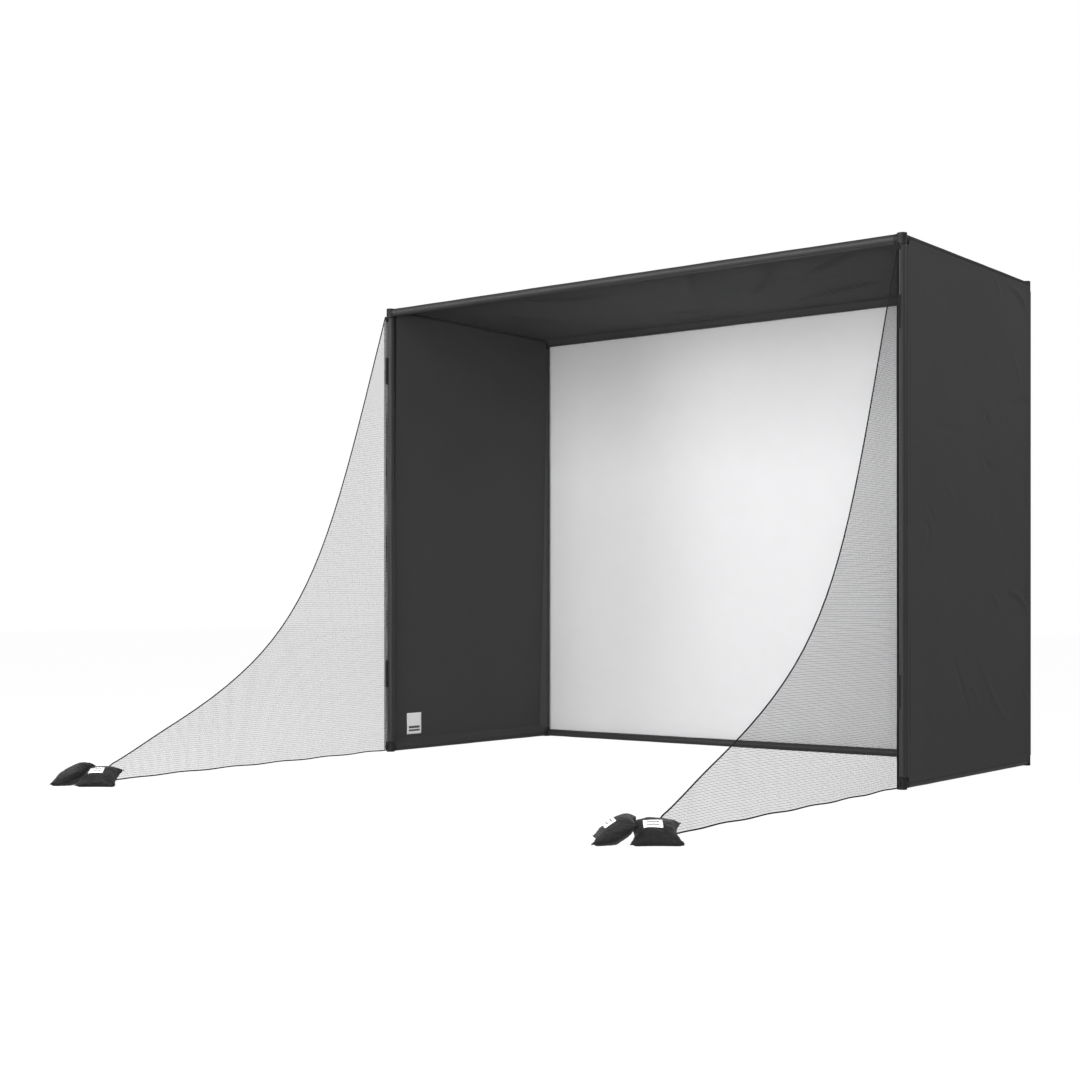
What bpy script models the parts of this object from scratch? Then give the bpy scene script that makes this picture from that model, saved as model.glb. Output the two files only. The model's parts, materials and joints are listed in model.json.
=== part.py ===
"""Golf practice net: a free-standing hitting bay with an impact screen and two side barrier nets.

Black steel tubes in push-fit corner fittings make a box that is open in front and has no floor rail there.
Black fabric covers close its top and sides, a pale impact screen hangs behind the rear frame, and a
triangular net runs forward from each front upright to a pair of sand bags.

Axes: +X to the right, +Y from the golfer towards the screen, +Z up. The origin is on the floor under the
middle of the whole object, bags included. Units are metres.
"""

import math

import bmesh
import bpy
from mathutils import Matrix, Vector

# Overall size of the tube frame, over the corner fittings
BAY_WIDTH = 3.184
BAY_DEPTH = 1.481
BAY_HEIGHT = 2.500

# Tubes and corner fittings
TUBE_RADIUS = 0.01905
TUBE_BORE_RADIUS = 0.01755
COLLAR_RADIUS = 0.0228
LEVEL_COLLAR_RADIUS = 0.0220
COLLAR_LENGTH = 0.028  # from the crossing of the tube axes to the collar's end
SPIGOT_RADIUS = 0.0171
SPIGOT_LENGTH = 0.060
SPLICE_LENGTH = 0.160
FIT_GAP = 0.0004
ROUND_SIDES = 20
SMALL_ROUND_SIDES = 12  # holes, loops and the tie balls
SMOOTH_ANGLE = math.radians(35)

# Fabric covers
SLEEVE_RADIUS = 0.0213
SLEEVE_BORE_RADIUS = 0.0196
SHEET_OFFSET = 0.0185  # from the tube axis out to the middle of the cover's sheet
SHEET_THICKNESS = 0.0012
SHEET_START = 0.0085  # how far past the tube axis the sheet joins the sleeve
SHEET_NOTCH = COLLAR_LENGTH + FIT_GAP

# Impact screen behind the rear frame
SCREEN_GAP = 0.0248  # from the rear tube axes to the screen's front face
SCREEN_THICKNESS = 0.002
SCREEN_MARGIN = 0.010  # how far the screen runs past the rear tube axes
HEM_WIDTH = 0.036
HEM_THICKNESS = 0.002
TIE_HOLE_RADIUS = 0.005
TIE_CORD_RADIUS = 0.0032
TIE_CORD_SIDES = 8
TIE_BALL_RADIUS = 0.011
TIE_BALL_RINGS = 7
TIE_TAB_SIZE = 0.014
TIE_TAB_THICKNESS = 0.0015
TIES_ACROSS = 4
TIES_UP = 2
GAP = 0.0003

# Side barrier nets. Along a net is measured from its hinge, the cord beside the front upright
HINGE_OFFSET = 0.036
NET_TOP = 2.470
NET_BOTTOM = 0.010
NET_PULL_ONE = Vector((0.586, 0.743))
NET_PULL_TWO = Vector((0.735, 0.513))
NET_REACH = Vector((2.220, 0.010))
NET_TIP_AT = 1.983  # where the leading edge turns down to the floor behind the front bag
NET_TIP_RUN = 0.030
NET_THICKNESS = 0.0016
CORD_RADIUS = 0.003
LEFT_NET_SWING = math.radians(2.9)
RIGHT_NET_SWING = math.radians(1.5)
LEADING_STEPS = 28

# Loops that hold a net's rear cord to the upright
LOOP_WALL = 0.002
LOOP_TAIL_THICKNESS = 0.003
LONG_LOOP = 0.150
SHORT_LOOP = 0.020
LOOP_HEIGHTS = {"bottom": 0.030, "lower": 0.440, "upper": 2.145, "top": 2.432}
LOOP_BORE = CORD_RADIUS + FIT_GAP
LOOP_NOTCH_MARGIN = 0.001

# Sand bags. A rear bag leans on the front bag of its pair
BAG_WIDTH = 0.200
BAG_DEPTH = 0.160
LEANING_BAG_WIDTH = 0.168  # a leaning bag covers less of the floor
BAG_CROWN = 0.042
BAG_BELLY = 0.050
BAG_SEAM_HEIGHT = 0.006
BAG_SIDE_PINCH = 0.20
BAG_EDGE_PINCH = 0.05
BAG_SHOULDER = 0.55  # the lower, the steeper a bag rises from its seam
BAG_STEPS = 10
FLOOR_GAP = 0.001
FRONT_BAG_RISE = 0.058  # how much higher the seam is along the far edge than along the near edge
REAR_BAG_RISE = 0.012
REAR_BAG_LEAN = 0.072  # how much higher the seam is at the right end than at the left end
BAG_CLEARANCE = 0.001
PRESS_DEPTH = 0.020

# Where the bags lie: sideways and forwards from the front upright, and their turn in degrees
BAG_PLACES = {
    "front_bag_left": (0.171, 2.127, 38),
    "rear_bag_left": (0.058, 2.190, 24),
    "front_bag_right": (0.088, 2.099, 39),
    "rear_bag_right": (-0.021, 2.189, 34),
}

# How far the sand bags stand out past the frame, which puts the origin under the middle of everything
BAGS_REACH_LEFT = 0.0273
BAGS_REACH_RIGHT = 0.1921
BAGS_REACH_FRONT = 2.2783
SCREEN_REACH_BACK = 0.0274

RIGHT = (BAY_WIDTH + BAGS_REACH_LEFT - BAGS_REACH_RIGHT) / 2 - COLLAR_RADIUS
LEFT = RIGHT - (BAY_WIDTH - 2 * COLLAR_RADIUS)
FRONT = (BAGS_REACH_FRONT - BAY_DEPTH - SCREEN_REACH_BACK) / 2 + COLLAR_RADIUS
REAR = FRONT + BAY_DEPTH - 2 * COLLAR_RADIUS
LOW = COLLAR_RADIUS
HIGH = BAY_HEIGHT - COLLAR_RADIUS
CENTRE = (LEFT + RIGHT) / 2

AXES = {"x": Vector((1, 0, 0)), "y": Vector((0, 1, 0)), "z": Vector((0, 0, 1))}


def clear_scene():
    for obj in list(bpy.data.objects):
        bpy.data.objects.remove(obj, do_unlink=True)


def material(name, colour, roughness, metallic=0.0):
    made = bpy.data.materials.new(name)
    made.use_nodes = True
    shader = made.node_tree.nodes["Principled BSDF"]
    shader.inputs["Base Color"].default_value = (*colour, 1.0)
    shader.inputs["Roughness"].default_value = roughness
    shader.inputs["Metallic"].default_value = metallic
    return made


def place(name, bm, finish):
    """Turns a bmesh into a named, smooth-shaded object."""
    bmesh.ops.recalc_face_normals(bm, faces=bm.faces)
    mesh = bpy.data.meshes.new(name)
    bm.to_mesh(mesh)
    bm.free()
    mesh.materials.append(finish)
    mesh.shade_smooth()
    mesh.set_sharp_from_angle(angle=SMOOTH_ANGLE)
    obj = bpy.data.objects.new(name, mesh)
    bpy.context.scene.collection.objects.link(obj)
    return obj


def turn_to(axis):
    """The rotation that lays the +Z axis along this direction."""
    return Vector(axis).to_track_quat("Z", "Y").to_matrix().to_4x4()


def rod(bm, start, end, radius, sides=ROUND_SIDES):
    """A round bar between two points, closed at both ends."""
    start, end = Vector(start), Vector(end)
    matrix = Matrix.Translation((start + end) / 2) @ turn_to(end - start)
    bmesh.ops.create_cone(
        bm,
        cap_ends=True,
        segments=sides,
        radius1=radius,
        radius2=radius,
        depth=(end - start).length,
        matrix=matrix,
    )


def pipe(bm, start, end, radius, bore, sides=ROUND_SIDES):
    """A hollow round bar between two points, open at both ends."""
    start, end = Vector(start), Vector(end)
    turn = turn_to(end - start)
    rings = []
    for centre, size in ((start, radius), (end, radius), (end, bore), (start, bore)):
        ring = bmesh.ops.create_circle(
            bm, segments=sides, radius=size, matrix=Matrix.Translation(centre) @ turn
        )["verts"]
        rings.append(ring)
    for ring, following in zip(rings, rings[1:] + rings[:1]):
        for i in range(sides):
            j = (i + 1) % sides
            bm.faces.new((ring[i], ring[j], following[j], following[i]))


def block(bm, low, high):
    """A box between two corners."""
    low, high = Vector(low), Vector(high)
    size = Matrix.Diagonal((*(high - low), 1.0))
    bmesh.ops.create_cube(bm, size=1.0, matrix=Matrix.Translation((low + high) / 2) @ size)


def prism(bm, outline, rise):
    """A closed outline of points pushed along a vector into a solid."""
    face = bm.faces.new([bm.verts.new(point) for point in outline])
    pushed = bmesh.ops.extrude_face_region(bm, geom=[face])["geom"]
    moved = [v for v in pushed if isinstance(v, bmesh.types.BMVert)]
    bmesh.ops.translate(bm, verts=moved, vec=rise)


def fuse(obj, others, operation="UNION"):
    """Joins the other objects to this one, or cuts them from it, and keeps only the result."""
    for other in others:
        step = obj.modifiers.new(operation.lower(), "BOOLEAN")
        step.operation = operation
        step.object = other
    bpy.context.view_layer.update()
    made = obj.evaluated_get(bpy.context.evaluated_depsgraph_get())
    obj.modifiers.clear()
    obj.data = bpy.data.meshes.new_from_object(made)
    for other in others:
        bpy.data.objects.remove(other, do_unlink=True)
    return obj


def solid(name, finish, make, *args, **options):
    """One object from one of the shape functions above."""
    bm = bmesh.new()
    make(bm, *args, **options)
    return place(name, bm, finish)


def corner_fitting(name, centre, arms, finish):
    """A collar and a spigot along each arm. The level collars run into the upright one, which ends flat."""
    centre = Vector(centre)
    pieces = []
    upright_first = sorted(map(Vector, arms), key=lambda arm: -abs(arm.z))
    for arm in upright_first:
        upright = bool(arm.z)
        radius = COLLAR_RADIUS if upright else LEVEL_COLLAR_RADIUS
        overrun = COLLAR_RADIUS if upright else -COLLAR_RADIUS / 2
        collar = centre - arm * overrun, centre + arm * COLLAR_LENGTH
        spigot = centre + arm * COLLAR_LENGTH / 2, centre + arm * (COLLAR_LENGTH + SPIGOT_LENGTH)
        pieces.append(solid(name, finish, rod, *collar, radius))
        pieces.append(solid(name, finish, rod, *spigot, SPIGOT_RADIUS))
    whole = fuse(pieces[0], pieces[1:])
    whole.name = name
    return whole


def corner_fittings(finish):
    for side, x, inward in (("left", LEFT, AXES["x"]), ("right", RIGHT, -AXES["x"])):
        for end, y, along in (("front", FRONT, AXES["y"]), ("rear", REAR, -AXES["y"])):
            for level, z, upright in (("bottom", LOW, AXES["z"]), ("top", HIGH, -AXES["z"])):
                arms = [upright, along]
                if (end, level) != ("front", "bottom"):  # no rail crosses the floor in front
                    arms.append(inward)
                corner_fitting(f"{end}_{level}_corner_{side}", (x, y, z), arms, finish)


def tube(name, start, end, axis, finish):
    """A frame tube between two fittings' collars."""
    step = AXES[axis] * (COLLAR_LENGTH + FIT_GAP)
    ends = Vector(start) + step, Vector(end) - step
    return solid(name, finish, pipe, *ends, TUBE_RADIUS, TUBE_BORE_RADIUS)


def split_rail(name, y, z, tube_finish, splice_finish):
    """A rail across the bay in two tubes that meet on a splice inside them."""
    step = COLLAR_LENGTH + FIT_GAP
    middle = Vector((CENTRE, y, z))
    near = middle - AXES["x"] * GAP / 2, middle + AXES["x"] * GAP / 2
    left_end, right_end = Vector((LEFT + step, y, z)), Vector((RIGHT - step, y, z))
    solid(f"{name}_left", tube_finish, pipe, left_end, near[0], TUBE_RADIUS, TUBE_BORE_RADIUS)
    solid(f"{name}_right", tube_finish, pipe, near[1], right_end, TUBE_RADIUS, TUBE_BORE_RADIUS)
    half = AXES["x"] * SPLICE_LENGTH / 2
    solid(f"{name}_splice", splice_finish, rod, middle - half, middle + half, SPIGOT_RADIUS)


def frame_tubes(tube_finish, splice_finish):
    for side, x in (("left", LEFT), ("right", RIGHT)):
        for end, y in (("front", FRONT), ("rear", REAR)):
            tube(f"{end}_upright_{side}", (x, y, LOW), (x, y, HIGH), "z", tube_finish)
        for level, z in (("bottom", LOW), ("top", HIGH)):
            tube(f"{level}_side_rail_{side}", (x, FRONT, z), (x, REAR, z), "y", tube_finish)
    split_rail("front_top_rail", FRONT, HIGH, tube_finish, splice_finish)
    split_rail("rear_top_rail", REAR, HIGH, tube_finish, splice_finish)
    split_rail("rear_bottom_rail", REAR, LOW, tube_finish, splice_finish)


def sleeve(name, start, end, axis, finish):
    """The fabric pocket around a tube, from collar to collar."""
    step = AXES[axis] * (COLLAR_LENGTH + FIT_GAP)
    ends = Vector(start) + step, Vector(end) - step
    return solid(name, finish, pipe, *ends, SLEEVE_RADIUS, SLEEVE_BORE_RADIUS)


def notched_outline(low, high, notches):
    """A rectangle's outline with a square notch at each named corner."""
    (u0, v0), (u1, v1) = low, high
    corners = {"low_left": (u0, v0, 1, 1), "low_right": (u1, v0, -1, 1)}
    corners.update({"high_right": (u1, v1, -1, -1), "high_left": (u0, v1, 1, -1)})
    outline = []
    for corner, (u, v, into_u, into_v) in corners.items():
        cut_u, cut_v = notches[corner]
        along = (u + into_u * cut_u, v)
        inner = (u + into_u * cut_u, v + into_v * cut_v)
        up = (u, v + into_v * cut_v)
        bend = [up, inner, along]
        outline += bend if into_u == into_v else bend[::-1]
    return outline


def side_cover(side, finish):
    """A side wall: a sheet with pockets on both uprights and on the bottom rail."""
    x, outward = (LEFT, -1) if side == "left" else (RIGHT, 1)
    name = f"side_cover_{side}"
    sheet_x = x + outward * SHEET_OFFSET - SHEET_THICKNESS / 2
    notch = SHEET_NOTCH - SHEET_START
    below_top_rail = COLLAR_RADIUS + FIT_GAP
    outline = notched_outline(
        (FRONT + SHEET_START, LOW + SHEET_START),
        (REAR - SHEET_START, HIGH - below_top_rail / 2),
        {
            "low_left": (notch, notch),
            "low_right": (notch, notch),
            "high_left": (notch, SHEET_NOTCH - below_top_rail / 2),
            "high_right": (notch, SHEET_NOTCH - below_top_rail / 2),
        },
    )
    points = [Vector((sheet_x, y, z)) for y, z in outline]
    sheet = solid(name, finish, prism, points, Vector((SHEET_THICKNESS, 0, 0)))
    pockets = [
        sleeve(name, (x, FRONT, LOW), (x, FRONT, HIGH), "z", finish),
        sleeve(name, (x, REAR, LOW), (x, REAR, HIGH), "z", finish),
        sleeve(name, (x, FRONT, LOW), (x, REAR, LOW), "y", finish),
    ]
    fuse(sheet, pockets).name = name


def top_cover(finish):
    """The roof: a sheet with pockets on all four top rails."""
    notch = SHEET_NOTCH - SHEET_START
    cuts = {corner: (notch, notch) for corner in ("low_left", "low_right", "high_right", "high_left")}
    outline = notched_outline(
        (LEFT + SHEET_START, FRONT + SHEET_START), (RIGHT - SHEET_START, REAR - SHEET_START), cuts
    )
    sheet_z = HIGH + SHEET_OFFSET - SHEET_THICKNESS / 2
    points = [Vector((x, y, sheet_z)) for x, y in outline]
    sheet = solid("top_cover", finish, prism, points, Vector((0, 0, SHEET_THICKNESS)))
    pockets = [sleeve("pocket", (LEFT, y, HIGH), (RIGHT, y, HIGH), "x", finish) for y in (FRONT, REAR)]
    pockets += [sleeve("pocket", (x, FRONT, HIGH), (x, REAR, HIGH), "y", finish) for x in (LEFT, RIGHT)]
    fuse(sheet, pockets).name = "top_cover"


def tie_places():
    """Where an elastic tie goes through the screen's hem: name and x, z."""
    width, height = RIGHT - LEFT, HIGH - LOW
    places = {}
    for i in range(TIES_ACROSS):
        x = LEFT + width * (i + 0.5) / TIES_ACROSS
        places[f"screen_tie_top_{i + 1}"] = (x, HIGH)
        places[f"screen_tie_bottom_{i + 1}"] = (x, LOW)
    for i in range(TIES_UP):
        z = LOW + height * (i + 1) / (TIES_UP + 1)
        places[f"screen_tie_left_{i + 1}"] = (LEFT, z)
        places[f"screen_tie_right_{i + 1}"] = (RIGHT, z)
    return places


def screen_outline(inset):
    """The screen's four corners in x and z, brought in by a distance."""
    low = (LEFT - SCREEN_MARGIN + inset, LOW - SCREEN_MARGIN + inset)
    high = (RIGHT + SCREEN_MARGIN - inset, HIGH + SCREEN_MARGIN - inset)
    return low, high


def screen_sheet(name, finish, front, thickness, inset=0.0):
    low, high = screen_outline(inset)
    return solid(name, finish, block, (low[0], front, low[1]), (high[0], front + thickness, high[1]))


def tie_holes(bm, front, depth):
    """Round pegs where the ties go through a sheet, for cutting their holes."""
    for x, z in tie_places().values():
        rod(bm, (x, front - depth, z), (x, front + 2 * depth, z), TIE_HOLE_RADIUS, SMALL_ROUND_SIDES)


def impact_screen(screen_finish, hem_finish):
    """The pale sheet that stops the ball, and the webbing hem on its back."""
    front = REAR + SCREEN_GAP
    sheet = screen_sheet("impact_screen", screen_finish, front, SCREEN_THICKNESS)
    pegs = solid("pegs", screen_finish, tie_holes, front, SCREEN_THICKNESS)
    fuse(sheet, [pegs], "DIFFERENCE")
    hem_front = front + SCREEN_THICKNESS + GAP
    hem = screen_sheet("screen_hem", hem_finish, hem_front, HEM_THICKNESS)
    window = screen_sheet("window", hem_finish, hem_front - HEM_THICKNESS, 3 * HEM_THICKNESS, HEM_WIDTH)
    pegs = solid("pegs", hem_finish, tie_holes, hem_front, HEM_THICKNESS)
    fuse(hem, [window, pegs], "DIFFERENCE")


def screen_tie(name, x, z, finish):
    """An elastic tie: a tab sewn behind the pocket, a cord through the hem, and a ball that holds it."""
    tab_front = REAR + SLEEVE_RADIUS + GAP
    tab_back = tab_front + TIE_TAB_THICKNESS
    half = TIE_TAB_SIZE / 2
    tab = solid(name, finish, block, (x - half, tab_front, z - half), (x + half, tab_back, z + half))
    hem_back = REAR + SCREEN_GAP + SCREEN_THICKNESS + GAP + HEM_THICKNESS
    ball_centre = Vector((x, hem_back + GAP + TIE_BALL_RADIUS, z))
    cord_ends = (x, tab_front + TIE_TAB_THICKNESS / 2, z), ball_centre
    cord = solid(name, finish, rod, *cord_ends, TIE_CORD_RADIUS, TIE_CORD_SIDES)
    bm = bmesh.new()
    bmesh.ops.create_uvsphere(
        bm,
        u_segments=SMALL_ROUND_SIDES,
        v_segments=TIE_BALL_RINGS,
        radius=TIE_BALL_RADIUS,
        matrix=Matrix.Translation(ball_centre) @ Matrix.Rotation(math.pi / 2, 4, "X"),
    )
    ball = place(name, bm, finish)
    fuse(tab, [cord, ball]).name = name


def leading_edge():
    """The net's hollow front edge as a curve from the top of the upright towards the bags."""
    top = Vector((0.0, NET_TOP))
    points = []
    for i in range(LEADING_STEPS + 1):
        t = i / LEADING_STEPS
        one = top.lerp(NET_PULL_ONE, t).lerp(NET_PULL_ONE.lerp(NET_PULL_TWO, t), t)
        two = NET_PULL_ONE.lerp(NET_PULL_TWO, t).lerp(NET_PULL_TWO.lerp(NET_REACH, t), t)
        points.append(one.lerp(two, t))
    return points


def loop_height(level):
    return SHORT_LOOP if level in ("top", "bottom") else LONG_LOOP


def netting_rear_edge(rear, low, high):
    """The netting's rear edge from low to high, notched where a loop goes round the cord."""
    edge = [Vector((rear, low))]
    notched = LOOP_BORE + LOOP_WALL + FIT_GAP
    for level, middle in LOOP_HEIGHTS.items():
        half = loop_height(level) / 2 + LOOP_NOTCH_MARGIN
        edge += [Vector((rear, middle - half)), Vector((notched, middle - half))]
        edge += [Vector((notched, middle + half)), Vector((rear, middle + half))]
    return [*edge, Vector((rear, high))]


def hollow_edge(inset):
    """The leading edge brought in by a distance, as far as the tip."""
    curve = leading_edge()
    shifted = []
    for before, here, after in zip([curve[0], *curve], curve, [*curve[1:], curve[-1]]):
        run = (after - before).normalized()
        shifted.append(here + Vector((run.y, -run.x)) * inset)
    limit = NET_TIP_AT - inset
    kept = [point for point in shifted if inset < point.x < limit]
    beyond = shifted[shifted.index(kept[-1]) + 1]
    share = (limit - kept[-1].x) / (beyond.x - kept[-1].x)
    return [*kept, kept[-1].lerp(beyond, share)]


def foot_line(inset):
    """The tip and the rear foot of the net, at floor level."""
    foot = NET_BOTTOM + inset
    return Vector((NET_TIP_AT + NET_TIP_RUN - 2 * inset, foot)), Vector((inset, foot))


def cord_path():
    tip, heel = foot_line(0.0)
    return [heel, Vector((0.0, NET_TOP)), *hollow_edge(0.0), tip]


def netting_outline():
    inset = CORD_RADIUS + GAP
    tip, heel = foot_line(inset)
    edge = hollow_edge(inset)
    first = edge[0]
    run = (edge[1] - first).normalized()
    top = first.y - (first.x - inset) * run.y / run.x
    return [*netting_rear_edge(inset, heel.y, top), *edge, tip]


def net_matrix(side):
    """Places a net's own frame: +X along the net from its hinge, +Y across it, +Z up."""
    x, swing = (LEFT, LEFT_NET_SWING) if side == "left" else (RIGHT, RIGHT_NET_SWING)
    hinge = Matrix.Translation((x, FRONT - HINGE_OFFSET, 0.0))
    return hinge @ Matrix.Rotation(swing - math.pi / 2, 4, "Z")


def barrier_net(side, parent, finish):
    """The netting itself, as a thin sheet inside its border cord."""
    half = NET_THICKNESS / 2
    outline = [Vector((point.x, -half, point.y)) for point in netting_outline()]
    net = solid(f"side_net_{side}", finish, prism, outline, Vector((0, NET_THICKNESS, 0)))
    net.parent = parent


def border_cord(side, parent, finish):
    """One closed cord round the whole net."""
    curve = bpy.data.curves.new(f"net_cord_{side}", "CURVE")
    curve.dimensions = "3D"
    curve.bevel_depth = CORD_RADIUS
    curve.bevel_resolution = 1
    curve.twist_mode = "Z_UP"
    line = curve.splines.new("POLY")
    points = cord_path()
    line.points.add(len(points) - 1)
    for point, place_at in zip(line.points, points):
        point.co = (place_at.x, 0.0, place_at.y, 1.0)
    line.use_cyclic_u = True
    curve.materials.append(finish)
    cord = bpy.data.objects.new(f"net_cord_{side}", curve)
    bpy.context.scene.collection.objects.link(cord)
    cord.parent = parent


def cord_loop(side, level, finish):
    """A webbing loop round the net's rear cord, with a tail that is sewn to the upright's pocket."""
    x = LEFT if side == "left" else RIGHT
    low = LOOP_HEIGHTS[level] - loop_height(level) / 2
    high = low + loop_height(level)
    at_fitting = level in ("top", "bottom")
    held_to = (COLLAR_RADIUS if at_fitting else SLEEVE_RADIUS) + GAP
    y = FRONT - HINGE_OFFSET
    name = f"net_loop_{level}_{side}"
    ends = (x, y, low), (x, y, high)
    ring = solid(name, finish, pipe, *ends, LOOP_BORE + LOOP_WALL, LOOP_BORE, SMALL_ROUND_SIDES)
    half = LOOP_TAIL_THICKNESS / 2
    tail_low = (x - half, y + LOOP_BORE + LOOP_WALL / 2, low)
    tail_high = (x + half, FRONT - held_to, high)
    fuse(ring, [solid("tail", finish, block, tail_low, tail_high)]).name = name


def pillow_fullness(u, v):
    """How full a filled bag is, from 1 in the middle to 0 along its seam."""
    return (max(0.0, 1 - u * u) * max(0.0, 1 - v * v)) ** BAG_SHOULDER


def pillow_grid(bm, width, rise, lean, height_at):
    """Rows of vertices over a bag's outline, at a height worked out from its seam and its fullness."""
    steps = [-1 + 2 * i / BAG_STEPS for i in range(BAG_STEPS + 1)]
    grid = {}
    for i, u in enumerate(steps):
        for j, v in enumerate(steps):
            x = width / 2 * u * (1 - BAG_SIDE_PINCH * (1 - v * v))
            y = BAG_DEPTH / 2 * v * (1 - BAG_EDGE_PINCH * (1 - u * u))
            seam = BAG_SEAM_HEIGHT + rise * (1 + v) / 2 + lean * (1 + u) / 2
            grid[i, j] = bm.verts.new((x, y, height_at(seam, pillow_fullness(u, v))))
    return grid


def grid_border():
    """The grid places round a bag's edge, in order."""
    last = BAG_STEPS
    there = [(i, 0) for i in range(last)] + [(last, j) for j in range(last)]
    return there + [(last - i, last - j) for i, j in there]


def skin(bm, top, bottom):
    for i in range(BAG_STEPS):
        for j in range(BAG_STEPS):
            ring = [(i, j), (i + 1, j), (i + 1, j + 1), (i, j + 1)]
            bm.faces.new([top[corner] for corner in ring])
            bm.faces.new([bottom[corner] for corner in reversed(ring)])


def pillow(bm, width, rise, lean):
    """A filled bag on the floor, full above and below its seam, with its ends pulled in."""
    top = pillow_grid(bm, width, rise, lean, lambda seam, full: seam + BAG_CROWN * full)
    bottom = pillow_grid(
        bm, width, rise, lean, lambda seam, full: min(seam, max(FLOOR_GAP, seam - BAG_BELLY * full))
    )
    skin(bm, top, bottom)
    bmesh.ops.weld_verts(bm, targetmap={bottom[corner]: top[corner] for corner in grid_border()})


def press_block(bm, width, rise, lean):
    """A block with the top of a bag and straight sides, for shaping the bag that leans on it."""
    top = pillow_grid(bm, width, rise, lean, lambda seam, full: seam + BAG_CROWN * full + BAG_CLEARANCE)
    bottom = pillow_grid(bm, width, rise, lean, lambda seam, full: -PRESS_DEPTH)
    skin(bm, top, bottom)
    border = grid_border()
    for here, after in zip(border, border[1:] + border[:1]):
        bm.faces.new((top[here], bottom[here], bottom[after], top[after]))


def bag_place(name):
    aside, ahead, turn = BAG_PLACES[name]
    upright = LEFT if name.endswith("left") else RIGHT
    spot = Matrix.Translation((upright + aside, FRONT - ahead, 0))
    return spot @ Matrix.Rotation(math.radians(turn), 4, "Z")


def bag_pair(side, parent, finish):
    """A front bag flat on the floor and a rear bag that leans on it."""
    front_name, rear_name = f"front_bag_{side}", f"rear_bag_{side}"
    front = solid(front_name, finish, pillow, BAG_WIDTH, FRONT_BAG_RISE, 0.0)
    rear = solid(rear_name, finish, pillow, LEANING_BAG_WIDTH, REAR_BAG_RISE, REAR_BAG_LEAN)
    press = solid("press", finish, press_block, BAG_WIDTH, FRONT_BAG_RISE, 0.0)
    spread = 1 + 2 * BAG_CLEARANCE / BAG_DEPTH
    front.matrix_world = bag_place(front_name)
    press.matrix_world = bag_place(front_name) @ Matrix.Diagonal((spread, spread, 1, 1))
    rear.matrix_world = bag_place(rear_name)
    fuse(rear, [press], "DIFFERENCE")
    for bag in (front, rear):
        bag.parent = parent
        bag.matrix_parent_inverse = parent.matrix_world.inverted()


def net_assembly(side, finishes):
    """A net, its cord and its two bags, all under one empty on the net's hinge."""
    hinge = bpy.data.objects.new(f"net_hinge_{side}", None)
    bpy.context.scene.collection.objects.link(hinge)
    hinge.matrix_world = net_matrix(side)
    bpy.context.view_layer.update()
    barrier_net(side, hinge, finishes["netting"])
    border_cord(side, hinge, finishes["cord"])
    for level in LOOP_HEIGHTS:
        cord_loop(side, level, finishes["webbing"])
    bag_pair(side, hinge, finishes["bag"])


def main():
    clear_scene()
    steel = material("black_coated_steel", (0.035, 0.035, 0.036), 0.45, 0.6)
    fitting = material("black_fitting", (0.030, 0.030, 0.031), 0.45, 0.6)
    zinc = material("zinc_plated_steel", (0.55, 0.56, 0.58), 0.35, 1.0)
    black_fabric = material("black_cover_fabric", (0.046, 0.046, 0.047), 0.85)
    screen_fabric = material("impact_screen_fabric", (0.70, 0.70, 0.71), 0.80)
    webbing = material("black_webbing", (0.030, 0.030, 0.031), 0.80)
    elastic = material("black_elastic", (0.028, 0.028, 0.029), 0.60)
    finishes = {
        "netting": material("black_netting", (0.060, 0.060, 0.060), 0.80),
        "cord": material("black_border_cord", (0.035, 0.035, 0.035), 0.75),
        "bag": material("black_bag_nylon", (0.032, 0.032, 0.034), 0.60),
        "webbing": webbing,
    }
    corner_fittings(fitting)
    frame_tubes(steel, zinc)
    side_cover("left", black_fabric)
    side_cover("right", black_fabric)
    top_cover(black_fabric)
    sleeve("rear_bottom_sleeve", (LEFT, REAR, LOW), (RIGHT, REAR, LOW), "x", black_fabric)
    impact_screen(screen_fabric, webbing)
    for name, (x, z) in tie_places().items():
        screen_tie(name, x, z, elastic)
    for side in ("left", "right"):
        net_assembly(side, finishes)


main()
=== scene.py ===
"""The looks of a golf practice net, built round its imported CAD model, for Blender 4.5.

Lengths are metres, in the frame of the CAD model: +X to the right of the bay, +Y to its rear, +Z up.
Tubes, fittings, splices and webbing loops are the CAD nodes with new materials. Covers, screen, ties,
netting, cords and weight bags are modelled here and stand for their CAD nodes.
"""

import json
import math

import bpy
import numpy as np
from mathutils import Matrix, Vector, noise
from mathutils.kdtree import KDTree


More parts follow.
